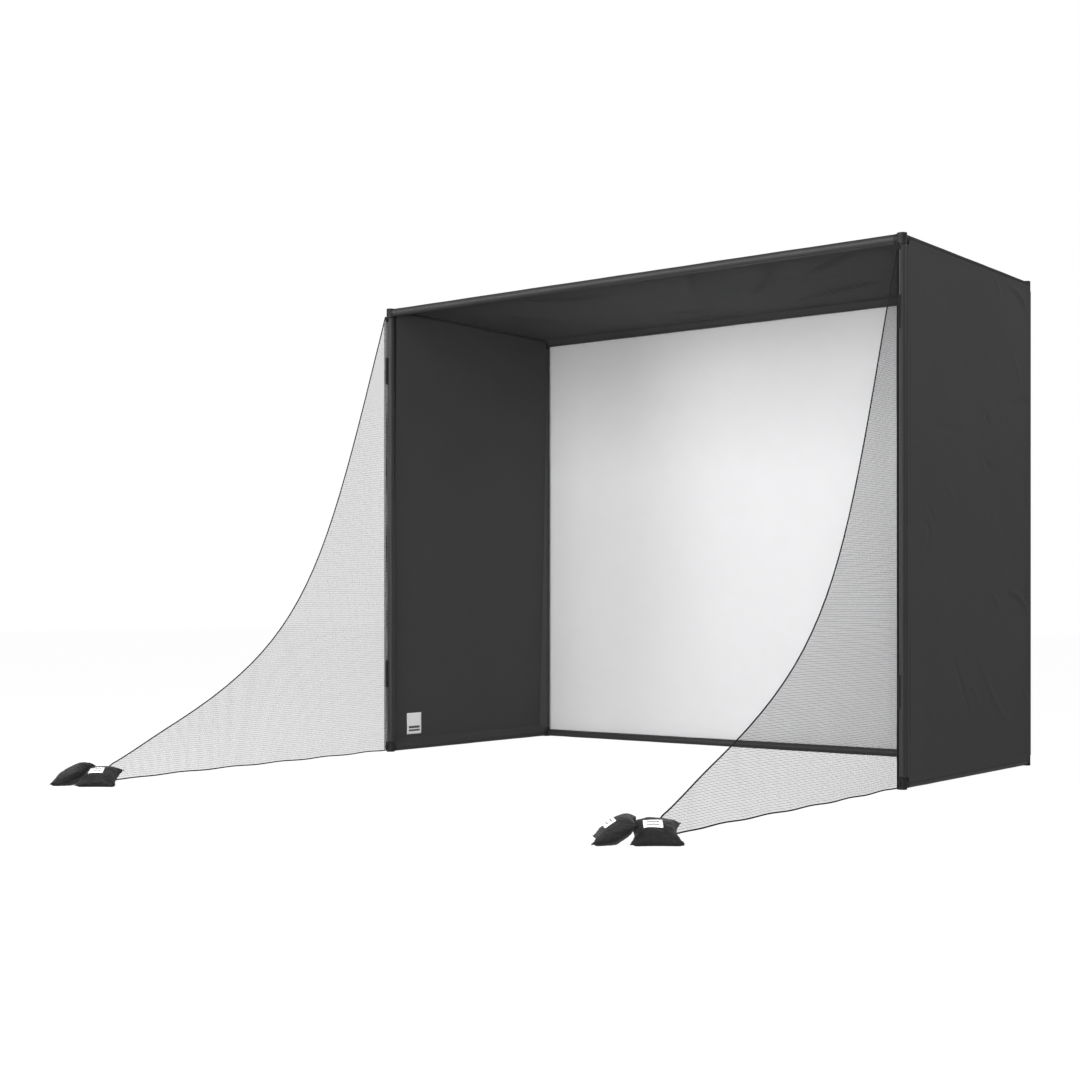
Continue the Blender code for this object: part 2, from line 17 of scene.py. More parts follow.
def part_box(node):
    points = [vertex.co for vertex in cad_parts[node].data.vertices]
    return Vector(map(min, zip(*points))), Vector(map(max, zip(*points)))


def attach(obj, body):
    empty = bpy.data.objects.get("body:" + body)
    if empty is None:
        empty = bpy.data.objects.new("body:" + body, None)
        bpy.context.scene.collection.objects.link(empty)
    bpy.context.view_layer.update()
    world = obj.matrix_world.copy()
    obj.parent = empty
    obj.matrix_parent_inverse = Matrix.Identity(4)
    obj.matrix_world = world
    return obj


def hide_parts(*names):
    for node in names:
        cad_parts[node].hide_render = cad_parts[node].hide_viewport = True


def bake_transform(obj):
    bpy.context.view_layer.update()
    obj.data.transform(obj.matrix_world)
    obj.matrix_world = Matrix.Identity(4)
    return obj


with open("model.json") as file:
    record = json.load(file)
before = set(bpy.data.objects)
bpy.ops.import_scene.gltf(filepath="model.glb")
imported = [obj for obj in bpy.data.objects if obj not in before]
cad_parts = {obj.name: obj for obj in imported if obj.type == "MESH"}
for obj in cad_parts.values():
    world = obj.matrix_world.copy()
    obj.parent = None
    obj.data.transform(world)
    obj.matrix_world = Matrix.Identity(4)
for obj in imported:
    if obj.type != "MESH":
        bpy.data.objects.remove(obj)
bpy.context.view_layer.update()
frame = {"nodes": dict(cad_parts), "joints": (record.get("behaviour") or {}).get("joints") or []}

SIDES = {"left": -1, "right": 1}


def middle(node):
    low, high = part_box(node)
    return (low + high) / 2


def half_height(node):
    low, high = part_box(node)
    return (high.z - low.z) / 2


POST_X = {side: middle(f"front_upright_{side}").x for side in SIDES}
LEFT = POST_X["left"]
RIGHT = POST_X["right"]
FRONT = middle("front_upright_right").y
REAR = middle("rear_upright_right").y
LOW = middle("bottom_side_rail_right").z
HIGH = middle("top_side_rail_right").z
CENTRE = (LEFT + RIGHT) / 2
POCKET_RADIUS = half_height("rear_bottom_sleeve")
COLLAR_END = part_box("front_upright_right")[0].z - LOW

NOTCH_END = COLLAR_END + 0.0015  # where a sheet's notch for a fitting ends

# Covers
SHEET_OFFSET = 0.0185  # from a tube's axis out to the sheet
SHEET_LIFT = 0.0037  # how much farther out the sheet runs where it lies over a pocket
SHEET_THICKNESS = 0.0012
SHEET_STEP = 0.010
SHEET_START = 0.0085
POCKET_THICKNESS = 0.0008
SEAM_WIDTH = 0.008
BINDING_WIDTH = 0.005
SEAM_THICKNESS = 0.0009
STITCH_PITCH = 0.0045
WALL_STITCH = {"pitch": STITCH_PITCH, "gap": 0.12, "reach": 0.76, "lift": 0.00045, "radius": 0.00032}
HEM_STITCH = {"pitch": 2 * STITCH_PITCH, "gap": 0.2, "reach": 0.6, "lift": 0.0004, "radius": 0.00035}
SIDE_SEAM = 0.046  # from a tube's axis to its pocket's seam
TOP_SEAM = HIGH - LOW - SIDE_SEAM  # the top side rails' pockets run down inside as the walls' lining
LINING_GAP = 0.0006
FRONT_LOOSENESS = 0.0042
POCKET_STEP = 0.012
POCKET_SIDES = 36
SEAMED_POCKET_SIDES = 32
FLAT_SHARES = (-0.98, -0.93, -0.8, -0.5, -0.2, 0.0, 0.2, 0.5, 0.8, 0.93, 0.98)
TAPE_WIDTH = 0.036
LABEL_THICKNESS = 0.0004
SCREEN_STEP = 0.020
KNOT_RADIUS = 0.0034
TAB_SIZE = 0.014
TAB_THICKNESS = 0.0015
TAB_SIDES = 24
EYELET_RADIUS = 0.0062
EYELET_WIRE = 0.0013

# Nets
COURSE_PITCH = 0.00505  # level strands, every second one thinner
WALE_PITCH = 0.0072  # upright strands
THICK_STRAND = 0.00078
THIN_STRAND = 0.00038
WALE_STRAND = 0.00042
STRAND_STEP = 0.030
CORD_RADIUS = 0.0030
CORD_STEP = 0.0055
CORD_LAY = 0.020
HEM_STRANDS = 6
HEM_DEPTH = 0.015
LEAD_DIP = 0.012  # how much lower the leading cord runs to the bag than the sheet in the CAD


# ---------------------------------------------------------------- mesh helpers


def add_piece(name, points, faces, material, slot, smooth=True):
    mesh = bpy.data.meshes.new(name)
    mesh.from_pydata(np.asarray(points, float).tolist(), [], faces)
    mesh.update()
    if smooth:
        mesh.shade_smooth()
    mesh.materials.append(material)
    piece = bpy.data.objects.new(name, mesh)
    bpy.context.scene.collection.objects.link(piece)
    return piece


def grid_faces(rows, columns, closed=False, start=0):
    """Quads between rows of points; closed joins each row's end to its start."""
    across = columns if closed else columns - 1
    faces = []
    for row in range(rows - 1):
        for column in range(across):
            a = start + row * columns + column
            b = start + row * columns + (column + 1) % columns
            faces.append((a, b, b + columns, a + columns))
    return faces


def positions(mesh):
    flat = np.empty(len(mesh.vertices) * 3)
    mesh.vertices.foreach_get("co", flat)
    return flat.reshape(-1, 3)


def lengths_along(path):
    steps = np.linalg.norm(np.diff(path, axis=0), axis=1)
    return np.concatenate([[0.0], np.cumsum(steps)])


def resample(path, step):
    """Points at even steps along a path."""
    path = np.asarray(path, float)
    travelled = lengths_along(path)
    count = max(2, round(travelled[-1] / step) + 1)
    places = np.linspace(0, travelled[-1], count)
    return np.stack([np.interp(places, travelled, path[:, axis]) for axis in range(path.shape[1])], 1)


def sweep(path, across, radius, sides=8, lobes=0, depth=0.0, lay=1.0):
    """A round body along a path that lies square to across; lobes and lay make it a laid rope."""
    path = np.asarray(path, float)
    across = np.asarray(across, float) / np.linalg.norm(across)
    tangent = np.gradient(path, axis=0)
    tangent /= np.linalg.norm(tangent, axis=1)[:, None]
    other = np.cross(tangent, across)
    angle = 2 * math.pi * np.arange(sides) / sides
    turn = 2 * math.pi * lengths_along(path)[:, None] / lay
    reach = radius * (1 + depth * np.cos(lobes * angle[None, :] - turn))
    ring = np.cos(angle)[None, :, None] * across + np.sin(angle)[None, :, None] * other[:, None, :]
    points = (path[:, None, :] + reach[:, :, None] * ring).reshape(-1, 3)
    faces = grid_faces(len(path), sides, closed=True)
    faces = [face[::-1] for face in faces]
    last = (len(path) - 1) * sides
    faces.append(tuple(range(sides)))
    faces.append(tuple(last + side for side in reversed(range(sides))))
    return points, faces


def joined(parts):
    """Several (points, faces) as one."""
    points, faces, count = [], [], 0
    for part_points, part_faces in parts:
        points.append(np.asarray(part_points, float))
        faces += [tuple(index + count for index in face) for face in part_faces]
        count += len(part_points)
    return np.concatenate(points), faces


def thicken(piece, thickness, offset=0.0):
    modifier = piece.modifiers.new("Thickness", "SOLIDIFY")
    modifier.thickness = thickness
    modifier.offset = offset
    return piece


def smooth_step(value):
    value = np.clip(value, 0, 1)
    return value * value * (3 - 2 * value)


def spaced(marks, step):
    """Lines at every mark, and at even steps no longer than step between them."""
    lines = [marks[0]]
    for start, end in zip(marks, marks[1:]):
        count = max(1, math.ceil((end - start) / step))
        lines += [start + (end - start) * (index + 1) / count for index in range(count)]
    return np.array(lines)


def noise_at(points, scale, seed=0.0):
    """Smooth noise from about -1 to 1 at each point; a higher scale gives smaller lumps."""
    shift = Vector((seed, seed * 1.7, -seed))
    return np.array([noise.noise(Vector(point) * scale + shift) for point in points])


# ---------------------------------------------------------------- materials


def add_node(tree, kind, settings=None, inputs=None):
    node = tree.nodes.new(kind)
    for key, value in (settings or {}).items():
        setattr(node, key, value)
    for key, value in (inputs or {}).items():
        if isinstance(value, bpy.types.NodeSocket):
            tree.links.new(value, node.inputs[key])
        else:
            node.inputs[key].default_value = value
    return node


def math_node(tree, operation, *values):
    return add_node(tree, "ShaderNodeMath", {"operation": operation}, dict(enumerate(values))).outputs[0]


def start_material(name):
    material = bpy.data.materials.new(name)
    material.use_nodes = True
    tree = material.node_tree
    tree.nodes.clear()
    place = add_node(tree, "ShaderNodeTexCoord").outputs["Object"]
    return material, tree, place


def finish_material(material, tree, **inputs):
    named = {key.replace("_", " ").title().replace("Ior", "IOR"): value for key, value in inputs.items()}
    shader = add_node(tree, "ShaderNodeBsdfPrincipled", None, named)
    add_node(tree, "ShaderNodeOutputMaterial", None, {"Surface": shader.outputs["BSDF"]})
    return material


def soft_noise(tree, place, scale, detail=3.0):
    settings = {"Vector": place, "Scale": scale, "Detail": detail}
    return add_node(tree, "ShaderNodeTexNoise", None, settings).outputs["Fac"]


def remapped(tree, value, low, high):
    """A noise level spread over low to high. The noise seldom leaves 0.3 to 0.7."""
    inputs = {"Value": value, "From Min": 0.3, "From Max": 0.7, "To Min": low, "To Max": high}
    return add_node(tree, "ShaderNodeMapRange", None, inputs).outputs["Result"]


def varied(tree, colour, spread, *factors):
    """The colour made lighter and darker by the factors, each about 0.5 on average."""
    level = factors[0]
    for factor in factors[1:]:
        level = math_node(tree, "ADD", level, factor)
    level = math_node(tree, "DIVIDE", level, float(len(factors)))
    level = remapped(tree, level, 1 - spread, 1 + spread)
    inputs = {0: colour, "Scale": level}
    return add_node(tree, "ShaderNodeVectorMath", {"operation": "SCALE"}, inputs).outputs[0]


def threads(tree, place, pitch, directions="XYZ"):
    """Ribs across each named direction, which cross into a weave on any face square to an axis."""
    total = 0.0
    for direction in directions:
        settings = {"wave_type": "BANDS", "bands_direction": direction}
        scale = math.pi / (10 * pitch)
        inputs = {"Vector": place, "Scale": scale}
        rib = add_node(tree, "ShaderNodeTexWave", settings, inputs).outputs["Fac"]
        total = math_node(tree, "ADD", rib, total)
    return math_node(tree, "DIVIDE", total, float(len(directions)))


def bump(tree, height, strength, distance):
    inputs = {"Height": height, "Strength": strength, "Distance": distance}
    return add_node(tree, "ShaderNodeBump", None, inputs).outputs["Normal"]


def woven(name, colour, pitch, roughness, spread=0.08, gloss=0.25, relief=0.0002, directions="XYZ"):
    """Cloth: crossing threads, an uneven dye, and a faint sheen."""
    material, tree, place = start_material(name)
    weave = threads(tree, place, pitch, directions)
    dye = soft_noise(tree, place, 2.2)
    grain = soft_noise(tree, place, 260.0, 2.0)
    return finish_material(
        material,
        tree,
        base_color=varied(tree, colour, spread, dye, grain, weave),
        roughness=roughness,
        specular_ior_level=gloss,
        sheen_weight=0.03,
        sheen_roughness=0.45,
        normal=bump(tree, math_node(tree, "ADD", weave, grain), 0.35, relief),
    )


def powder_coat(name, colour, roughness, gloss=0.3):
    """Satin black paint with fine orange peel, and duller patches where hands have been."""
    material, tree, place = start_material(name)
    peel = soft_noise(tree, place, 420.0, 2.0)
    patches = soft_noise(tree, place, 7.0)
    dulled = remapped(tree, patches, roughness - 0.07, roughness + 0.09)
    return finish_material(
        material,
        tree,
        base_color=varied(tree, colour, 0.10, patches, peel),
        roughness=dulled,
        specular_ior_level=gloss,
        normal=bump(tree, peel, 0.25, 0.0003),
    )


def plated_steel():
    material, tree, place = start_material("plated_steel")
    draw_marks = add_node(tree, "ShaderNodeMapping", None, {"Vector": place, "Scale": (4.0, 300.0, 300.0)})
    streaks = soft_noise(tree, draw_marks.outputs[0], 1.0, 4.0)
    return finish_material(
        material,
        tree,
        base_color=varied(tree, (0.55, 0.56, 0.58), 0.12, streaks),
        metallic=1.0,
        roughness=0.34,
        normal=bump(tree, streaks, 0.2, 0.0002),
    )


def screen_cloth():
    """Close-knit white polyester: fine ribs, a little see-through glow, and faint scuffs."""
    material, tree, place = start_material("screen_cloth")
    knit = threads(tree, place, 0.0016, "XZ")
    tone = soft_noise(tree, place, 1.3)
    scuffs = soft_noise(tree, place, 9.0, 5.0)
    colour = varied(tree, (0.79, 0.79, 0.80), 0.025, tone, scuffs, knit)
    normal = bump(tree, knit, 0.3, 0.0003)
    front = add_node(tree, "ShaderNodeBsdfPrincipled", None, {
        "Base Color": colour, "Roughness": 0.85, "Sheen Weight": 0.1, "Normal": normal,
    })
    through = add_node(tree, "ShaderNodeBsdfTranslucent", None, {"Color": colour, "Normal": normal})
    mix = add_node(tree, "ShaderNodeMixShader", None, {
        0: 0.12, 1: front.outputs[0], 2: through.outputs[0],
    })
    add_node(tree, "ShaderNodeOutputMaterial", None, {"Surface": mix.outputs[0]})
    return material


def bag_nylon():
    """Coated pack cloth: tight weave, soft shine that breaks up over small creases."""
    material, tree, place = start_material("bag_nylon")
    weave = threads(tree, place, 0.0011)
    creases = soft_noise(tree, place, 55.0, 5.0)
    dust = soft_noise(tree, place, 12.0)
    rough = remapped(tree, dust, 0.42, 0.62)
    height = math_node(tree, "ADD", math_node(tree, "MULTIPLY", creases, 3.0), weave)
    return finish_material(
        material,
        tree,
        base_color=varied(tree, (0.010, 0.010, 0.0107), 0.18, dust, creases),
        specular_ior_level=0.16,
        roughness=rough,
        sheen_weight=0.12,
        normal=bump(tree, height, 0.5, 0.0009),
    )


WEAVE = 0.0014  # between threads of the cover's cloth


def make_materials():
    """Every material, as colour, thread spacing and roughness, by what it covers."""
    return {
        "steel": powder_coat("black_powder_coat", (0.022, 0.022, 0.0225), 0.45),
        "fitting": powder_coat("black_fitting_coat", (0.017, 0.017, 0.0175), 0.56, 0.22),
        "plated": plated_steel(),
        "cover": woven("cover_fabric", (0.052, 0.052, 0.0525), WEAVE, 0.82, gloss=0.15, directions="YZ"),
        # Darker copy of the cover cloth for the roof; its lower colour is painted shade on the roof's
        # underside.
        "painted_shade_ceiling": woven("cover_fabric_painted_shade", (0.041, 0.041, 0.0414), WEAVE, 0.82, gloss=0.15, directions="XY"),
        "pocket": woven("pocket_fabric", (0.029, 0.029, 0.0295), WEAVE, 0.52, gloss=0.32),
        # Darker copy of the pocket cloth; its lower colour is painted shade on the top side rails' outer
        # faces and on the front bindings.
        "shaded": woven("rail_fabric_painted_shade", (0.015, 0.015, 0.0153), WEAVE, 0.62, gloss=0.12),
        "thread": woven("stitching_thread", (0.040, 0.040, 0.040), 0.0008, 0.7),
        "webbing": woven("loop_webbing", (0.026, 0.026, 0.027), 0.0016, 0.75, relief=0.0004),
        "hem": woven("screen_hem_tape", (0.03, 0.03, 0.031), 0.0018, 0.8),
        "screen": screen_cloth(),
        "elastic": woven("elastic_cord", (0.024, 0.024, 0.025), 0.0009, 0.6),
        "ball": powder_coat("moulded_ball", (0.022, 0.022, 0.023), 0.38),
        "netting": woven("knotless_netting", (0.014, 0.014, 0.0145), 0.0010, 0.75, gloss=0.15),
        "cord": woven("border_cord", (0.013, 0.013, 0.0135), 0.0013, 0.7, gloss=0.15, relief=0.0004),
        "nylon": bag_nylon(),
        "label": woven("label_cloth", (0.90, 0.90, 0.90), 0.0009, 0.7, spread=0.01),
        "print": woven("label_print", (0.10, 0.10, 0.11), 0.0009, 0.7, spread=0.05),
    }


MATERIALS = make_materials()


# ---------------------------------------------------------------- covers

# A fold is (start, middle, end, half width, height): places are shares of the panel's depth and height
# (for the roof, of its width and depth), the rest metres, and a positive height stands outward.
RIGHT_WALL_FOLDS = (
    ((0.67, 0.995), (0.71, 0.975), (0.735, 0.948), 0.010, 0.0059),
    ((0.78, 0.985), (0.90, 0.972), (0.985, 0.940), 0.014, 0.0119),
    ((0.83, 0.846), (0.88, 0.820), (0.91, 0.790), 0.014, 0.0048),
    ((0.81, 0.735), (0.90, 0.750), (0.99, 0.752), 0.013, -0.0076),
    ((0.22, 0.661), (0.32, 0.663), (0.42, 0.674), 0.016, -0.0051),
    ((0.01, 0.602), (0.07, 0.612), (0.13, 0.617), 0.013, -0.0068),
    ((0.60, 0.707), (0.62, 0.700), (0.64, 0.690), 0.012, -0.0059),
    ((0.59, 0.622), (0.65, 0.603), (0.73, 0.601), 0.014, -0.0076),
    ((0.30, 0.552), (0.33, 0.543), (0.355, 0.533), 0.010, 0.0051),
    ((0.09, 0.485), (0.17, 0.455), (0.04, 0.372), 0.018, -0.0068),
    ((0.15, 0.518), (0.18, 0.500), (0.215, 0.478), 0.011, -0.0059),
    ((0.66, 0.350), (0.70, 0.337), (0.735, 0.316), 0.011, 0.0059),
    ((0.78, 0.358), (0.90, 0.345), (0.995, 0.310), 0.014, 0.0116),
    ((0.35, 0.224), (0.42, 0.168), (0.475, 0.112), 0.012, -0.0082),
    ((0.55, 0.225), (0.69, 0.135), (0.83, 0.085), 0.016, 0.0071),
    ((0.02, 0.172), (0.11, 0.135), (0.20, 0.095), 0.016, -0.0085),
    ((0.92, 0.165), (0.96, 0.142), (0.995, 0.118), 0.011, 0.0058),
    ((0.48, 0.170), (0.52, 0.155), (0.555, 0.138), 0.011, 0.0054),
    ((0.02, 0.030), (0.10, 0.022), (0.20, 0.018), 0.014, -0.0048),
)
LEFT_WALL_FOLDS = (
    ((0.03, 0.688), (0.12, 0.657), (0.25, 0.655), 0.012, -0.0088),
    ((0.28, 0.384), (0.34, 0.389), (0.41, 0.378), 0.012, -0.0059),
    ((0.07, 0.245), (0.17, 0.246), (0.29, 0.273), 0.013, -0.0068),
    ((0.03, 0.980), (0.15, 0.935), (0.30, 0.880), 0.030, 0.0051),
    ((0.03, 0.054), (0.07, 0.040), (0.11, 0.026), 0.011, -0.0058),
    ((0.23, 0.074), (0.30, 0.050), (0.37, 0.024), 0.016, -0.0054),
    ((0.62, 0.560), (0.70, 0.545), (0.76, 0.512), 0.015, 0.0054),
    ((0.55, 0.235), (0.66, 0.190), (0.74, 0.120), 0.016, 0.0058),
)
ROOF_FOLDS = (
    ((0.24, 0.150), (0.33, 0.225), (0.43, 0.233), 0.022, -0.0127),
    ((0.61, 0.080), (0.575, 0.22), (0.52, 0.390), 0.030, -0.0119),
    ((0.74, 0.170), (0.67, 0.36), (0.59, 0.560), 0.034, -0.0145),
    ((0.76, 0.345), (0.83, 0.24), (0.90, 0.110), 0.028, 0.0136),
    ((0.60, 0.835), (0.71, 0.690), (0.85, 0.645), 0.028, -0.0145),
    ((0.37, 0.705), (0.43, 0.712), (0.49, 0.730), 0.024, -0.0102),
    ((0.30, 0.900), (0.40, 0.865), (0.52, 0.880), 0.024, -0.0102),
    ((0.10, 0.300), (0.15, 0.480), (0.17, 0.700), 0.030, -0.0085),
)


def folded(places, folds, size):
    """How far each place stands out because of the folds, for places in metres on the panel."""
    height = np.zeros(len(places))
    share = np.linspace(0, 1, 21)
    for start, centre, end, width, tall in folds:
        start, centre, end = (np.array(point) * size for point in (start, centre, end))
        pull = 2 * centre - (start + end) / 2
        weights = np.stack([(1 - share) ** 2, 2 * share * (1 - share), share**2], 1)
        curve = weights @ np.stack([start, pull, end])
        reach = np.linalg.norm(places[:, None, :] - curve[None, :, :], axis=2)
        nearest = reach.argmin(axis=1)
        taper = np.sin(math.pi * np.clip(share[nearest], 0.03, 0.97)) ** 0.7
        height += tall * np.exp(-((reach.min(axis=1) / width) ** 2)) * taper
    return height


def sheet_relief(places, folds, size, sag, seed):
    """Folds, a slow sag and small puckers, all dying away at the panel's edges."""
    inset = np.minimum(places, size - places).min(axis=1)
    edge = smooth_step(inset / 0.05)
    shares = places / size
    bowl = np.sin(math.pi * np.clip(shares[:, 0], 0, 1)) * np.sin(math.pi * np.clip(shares[:, 1], 0, 1))
    flat = np.column_stack([places, np.full(len(places), seed)])
    slow = noise_at(flat, 1.7) * 0.005 + noise_at(flat, 6.5, 3.0) * 0.0014
    pucker = noise_at(flat, 17.0, 7.0) * 0.0006
    near_edge = smooth_step(inset / 0.018)
    return near_edge * folded(places, folds, size) + edge * (sag * bowl + slow + pucker)


def cut_corners(faces, points, notches):
    """Drops the faces whose centre lies in any of the notches, each (low corner, high corner)."""
    points = np.asarray(points)
    kept = []
    for face in faces:
        centre = points[list(face)].mean(axis=0)
        if not any((centre > low).all() and (centre < high).all() for low, high in notches):
            kept.append(face)
    return kept


def without_loose(points, faces):
    used = sorted({index for face in faces for index in face})
    number = {index: place for place, index in enumerate(used)}
    return np.asarray(points)[used], [tuple(number[index] for index in face) for face in faces]


def panel_grid(low, high, notch):
    """A grid in a panel's own two coordinates, with a square notch at each corner for the fittings."""
    across = spaced([low[0], low[0] + notch[0], high[0] - notch[0], high[0]], SHEET_STEP)
    upward = spaced([low[1], low[1] + notch[1], high[1] - notch[1], high[1]], SHEET_STEP)
    places = np.array([(a, b) for a in across for b in upward])
    faces = grid_faces(len(across), len(upward))
    notches = []
    for a in (low[0], high[0] - notch[0]):
        for b in (low[1], high[1] - notch[1]):
            corner = np.array((a, b))
            notches.append((corner, corner + notch))
    return without_loose(places, cut_corners(faces, places, notches))


def wall(side):
    """A side wall: one sheet outside the tubes, lapped over the rear and bottom pockets and the roof's."""
    x, outward = POST_X[side], SIDES[side]
    size = np.array((REAR - FRONT, HIGH - LOW))
    lap = 0.003
    rear_lap = 0.010
    most_relief = 0.012
    low = np.array((SHEET_START, lap))
    high = np.array((size[0] + rear_lap, size[1] - lap))
    notch = np.array((NOTCH_END - SHEET_START, NOTCH_END - lap))
    places, faces = panel_grid(low, high, notch)
    folds = RIGHT_WALL_FOLDS if side == "right" else LEFT_WALL_FOLDS
    relief = sheet_relief(places, folds, size, 0.004, 1.0 if side == "right" else 5.0)
    lapped = np.minimum.reduce([places[:, 1], size[1] - places[:, 1], size[0] - places[:, 0]])
    lift = SHEET_LIFT * (1 - smooth_step(lapped / 0.030))
    room = LINING_GAP + (SHEET_OFFSET + POCKET_RADIUS) * places[:, 1] / size[1]
    reach = SHEET_OFFSET + lift + np.clip(relief, -np.minimum(room, most_relief), most_relief)
    points = np.column_stack([x + outward * reach, FRONT + places[:, 0], LOW + places[:, 1]])
    piece = add_piece(f"wall_sheet_{side}", points, faces, MATERIALS["cover"], "black_cover_fabric")
    thicken(piece, SHEET_THICKNESS)
    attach(piece, "frame")
    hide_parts(f"side_cover_{side}")
    return piece


def roof():
    size = np.array((RIGHT - LEFT, REAR - FRONT))
    low = np.array((SHEET_START, SHEET_START))
    notch = np.full(2, NOTCH_END - SHEET_START)
    places, faces = panel_grid(low, size - low, notch)
    relief = sheet_relief(places, ROOF_FOLDS, size, -0.016, 9.0)
    reach = SHEET_OFFSET + np.minimum(relief, 0.007)
    points = np.column_stack([LEFT + places[:, 0], FRONT + places[:, 1], HIGH + reach])
    # The roof takes the darker copy of the cover cloth, whose lower colour is painted shade.
    piece = add_piece("roof_sheet", points, faces, MATERIALS["painted_shade_ceiling"], "black_cover_fabric")
    thicken(piece, SHEET_THICKNESS)
    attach(piece, "frame")
    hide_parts("top_cover")
    return piece


def pocket_reach(angle, toward, seam):
    """How far a taut pocket stands from its tube's axis: a circle, drawn out to a point at its seam."""
    gap = np.abs((angle - toward + math.pi) % (2 * math.pi) - math.pi)
    tangent = math.acos(POCKET_RADIUS / seam)
    straight = POCKET_RADIUS / np.cos(np.clip(gap - tangent, -1.57, 0))
    return np.where(gap < tangent, np.minimum(straight, seam), POCKET_RADIUS)


def pocket(name, start, end, seed, seam=(0, 0, 0), bulge=(0, 0, 0), outward=None, cloth="pocket"):
    """A sewn pocket round a tube between two fittings. Seam is where its two sides meet, from the axis."""
    start, end = Vector(start), Vector(end)
    along = (end - start).normalized()
    length = (end - start).length - 2 * COLLAR_END
    across = Vector((0, 0, 1)) if abs(along.z) < 0.5 else Vector((1, 0, 0))
    other = along.cross(across)
    seam = Vector(seam)
    steps = round(length / POCKET_STEP)
    travelled = np.linspace(0, length, steps + 1)
    if seam.length > POCKET_RADIUS:
        toward = math.atan2(seam.dot(other), seam.dot(across))
        tangent = math.acos(POCKET_RADIUS / seam.length)
        round_part = np.linspace(toward + tangent, toward - tangent + 2 * math.pi, SEAMED_POCKET_SIDES)
        flat_part = toward + tangent * np.array(FLAT_SHARES)
        angle = np.concatenate([round_part, flat_part + 2 * math.pi])
        base = pocket_reach(angle, toward, seam.length)
    else:
        angle = 2 * math.pi * np.arange(POCKET_SIDES) / POCKET_SIDES
        base = np.full(POCKET_SIDES, POCKET_RADIUS)
    ring = np.cos(angle)[:, None] * np.array(across) + np.sin(angle)[:, None] * np.array(other)
    centre = np.array(start + along * COLLAR_END) + travelled[:, None] * np.array(along)
    slack = np.array([
        [noise.noise(Vector((math.cos(a) * 0.9 + seed, math.sin(a) * 0.9, t * 5.5))) for a in angle]
        for t in travelled
    ])
    from_end = np.minimum(travelled, length - travelled)
    tight = smooth_step(from_end / 0.10)[:, None]
    hem = np.exp(-((from_end / 0.006) ** 2))[:, None]
    facing = np.clip(ring @ np.array(bulge, float), 0, None)[None, :]
    waves = 0.5 + 0.5 * np.sin(travelled * 5.1 + seed * 2.0) * np.cos(travelled * 2.3 + seed)
    loose = facing * waves[:, None] * tight
    radius = base[None, :] - 0.0003 + np.clip(slack, -0.5, 1) * 0.0010 * tight + 0.0004 * hem + loose
    offset = radius[:, :, None] * ring[None, :, :]
    if outward is not None:
        beyond = offset @ np.array(outward, float) - (SHEET_OFFSET - SHEET_THICKNESS)
        flattened = np.where(base[None, :] > POCKET_RADIUS + 0.0005, np.clip(beyond, 0, None), 0)
        offset -= flattened[:, :, None] * np.array(outward, float)
    points = (centre[:, None, :] + offset).reshape(-1, 3)
    faces = grid_faces(len(travelled), len(angle), closed=True)
    piece = add_piece(name, points, faces, MATERIALS[cloth], "black_cover_fabric")
    piece.data.materials.append(MATERIALS["cover"])
    indoors = ring @ -np.array(outward or (0, 0, 0), float) > 0.1
    for face in piece.data.polygons:
        column = min(face.vertices[0] % len(angle), face.vertices[1] % len(angle))
        flat = base[column] > POCKET_RADIUS * 1.03
        face.use_smooth = not flat
        # With the darker cloth, the painted shade stays on the outward faces; the faces turned indoors and
        # the flat lining take the cover cloth.
        face.material_index = int(flat or (cloth == "shaded" and indoors[column]))
    thicken(piece, POCKET_THICKNESS, -1.0)
    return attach(piece, "frame")


def pockets():
    made = []
    on_sheet = SHEET_OFFSET - 0.002
    for side, outward in SIDES.items():
        x = POST_X[side]
        away = (outward, 0, 0)
        inward = (-outward * FRONT_LOOSENESS, -0.001, 0)
        front = ((x, FRONT, LOW), (x, FRONT, HIGH))
        rear = ((x, REAR, LOW), (x, REAR, HIGH))
        bottom = ((x, FRONT, LOW), (x, REAR, LOW))
        top = ((x, FRONT, HIGH), (x, REAR, HIGH))
        deep = outward * on_sheet
        made += [
            pocket(f"front_post_pocket_{side}", *front, 1.3 + outward, (deep, SIDE_SEAM, 0), inward, away),
            pocket(f"rear_post_pocket_{side}", *rear, 4.1 + outward, (deep, -SIDE_SEAM, 0), outward=away),
            pocket(f"bottom_pocket_{side}", *bottom, 7.7 + outward, (deep, 0, SIDE_SEAM), outward=away),
        ]
        # The top side rails' pockets take the darker cloth, whose colour is painted shade.
        drop = deep, 0, -TOP_SEAM
        name = f"top_side_pocket_{side}"
        made.append(pocket(name, *top, 2.9 + outward, drop, outward=away, cloth="shaded"))
    for place, y, way in (("front", FRONT, 1), ("rear", REAR, -1)):
        seam = (0, way * SIDE_SEAM, on_sheet)
        ends = (LEFT, y, HIGH), (RIGHT, y, HIGH)
        made.append(pocket(f"{place}_top_pocket", *ends, 5.5 + y, seam, outward=(0, 0, 1)))
    rear_bottom = pocket("rear_bottom_pocket", (LEFT, REAR, LOW), (RIGHT, REAR, LOW), 8.6)
    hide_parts("rear_bottom_sleeve")
    return made + [rear_bottom]


for wall_side in SIDES:
    wall(wall_side)
roof()
pockets()


# ---------------------------------------------------------------- seams


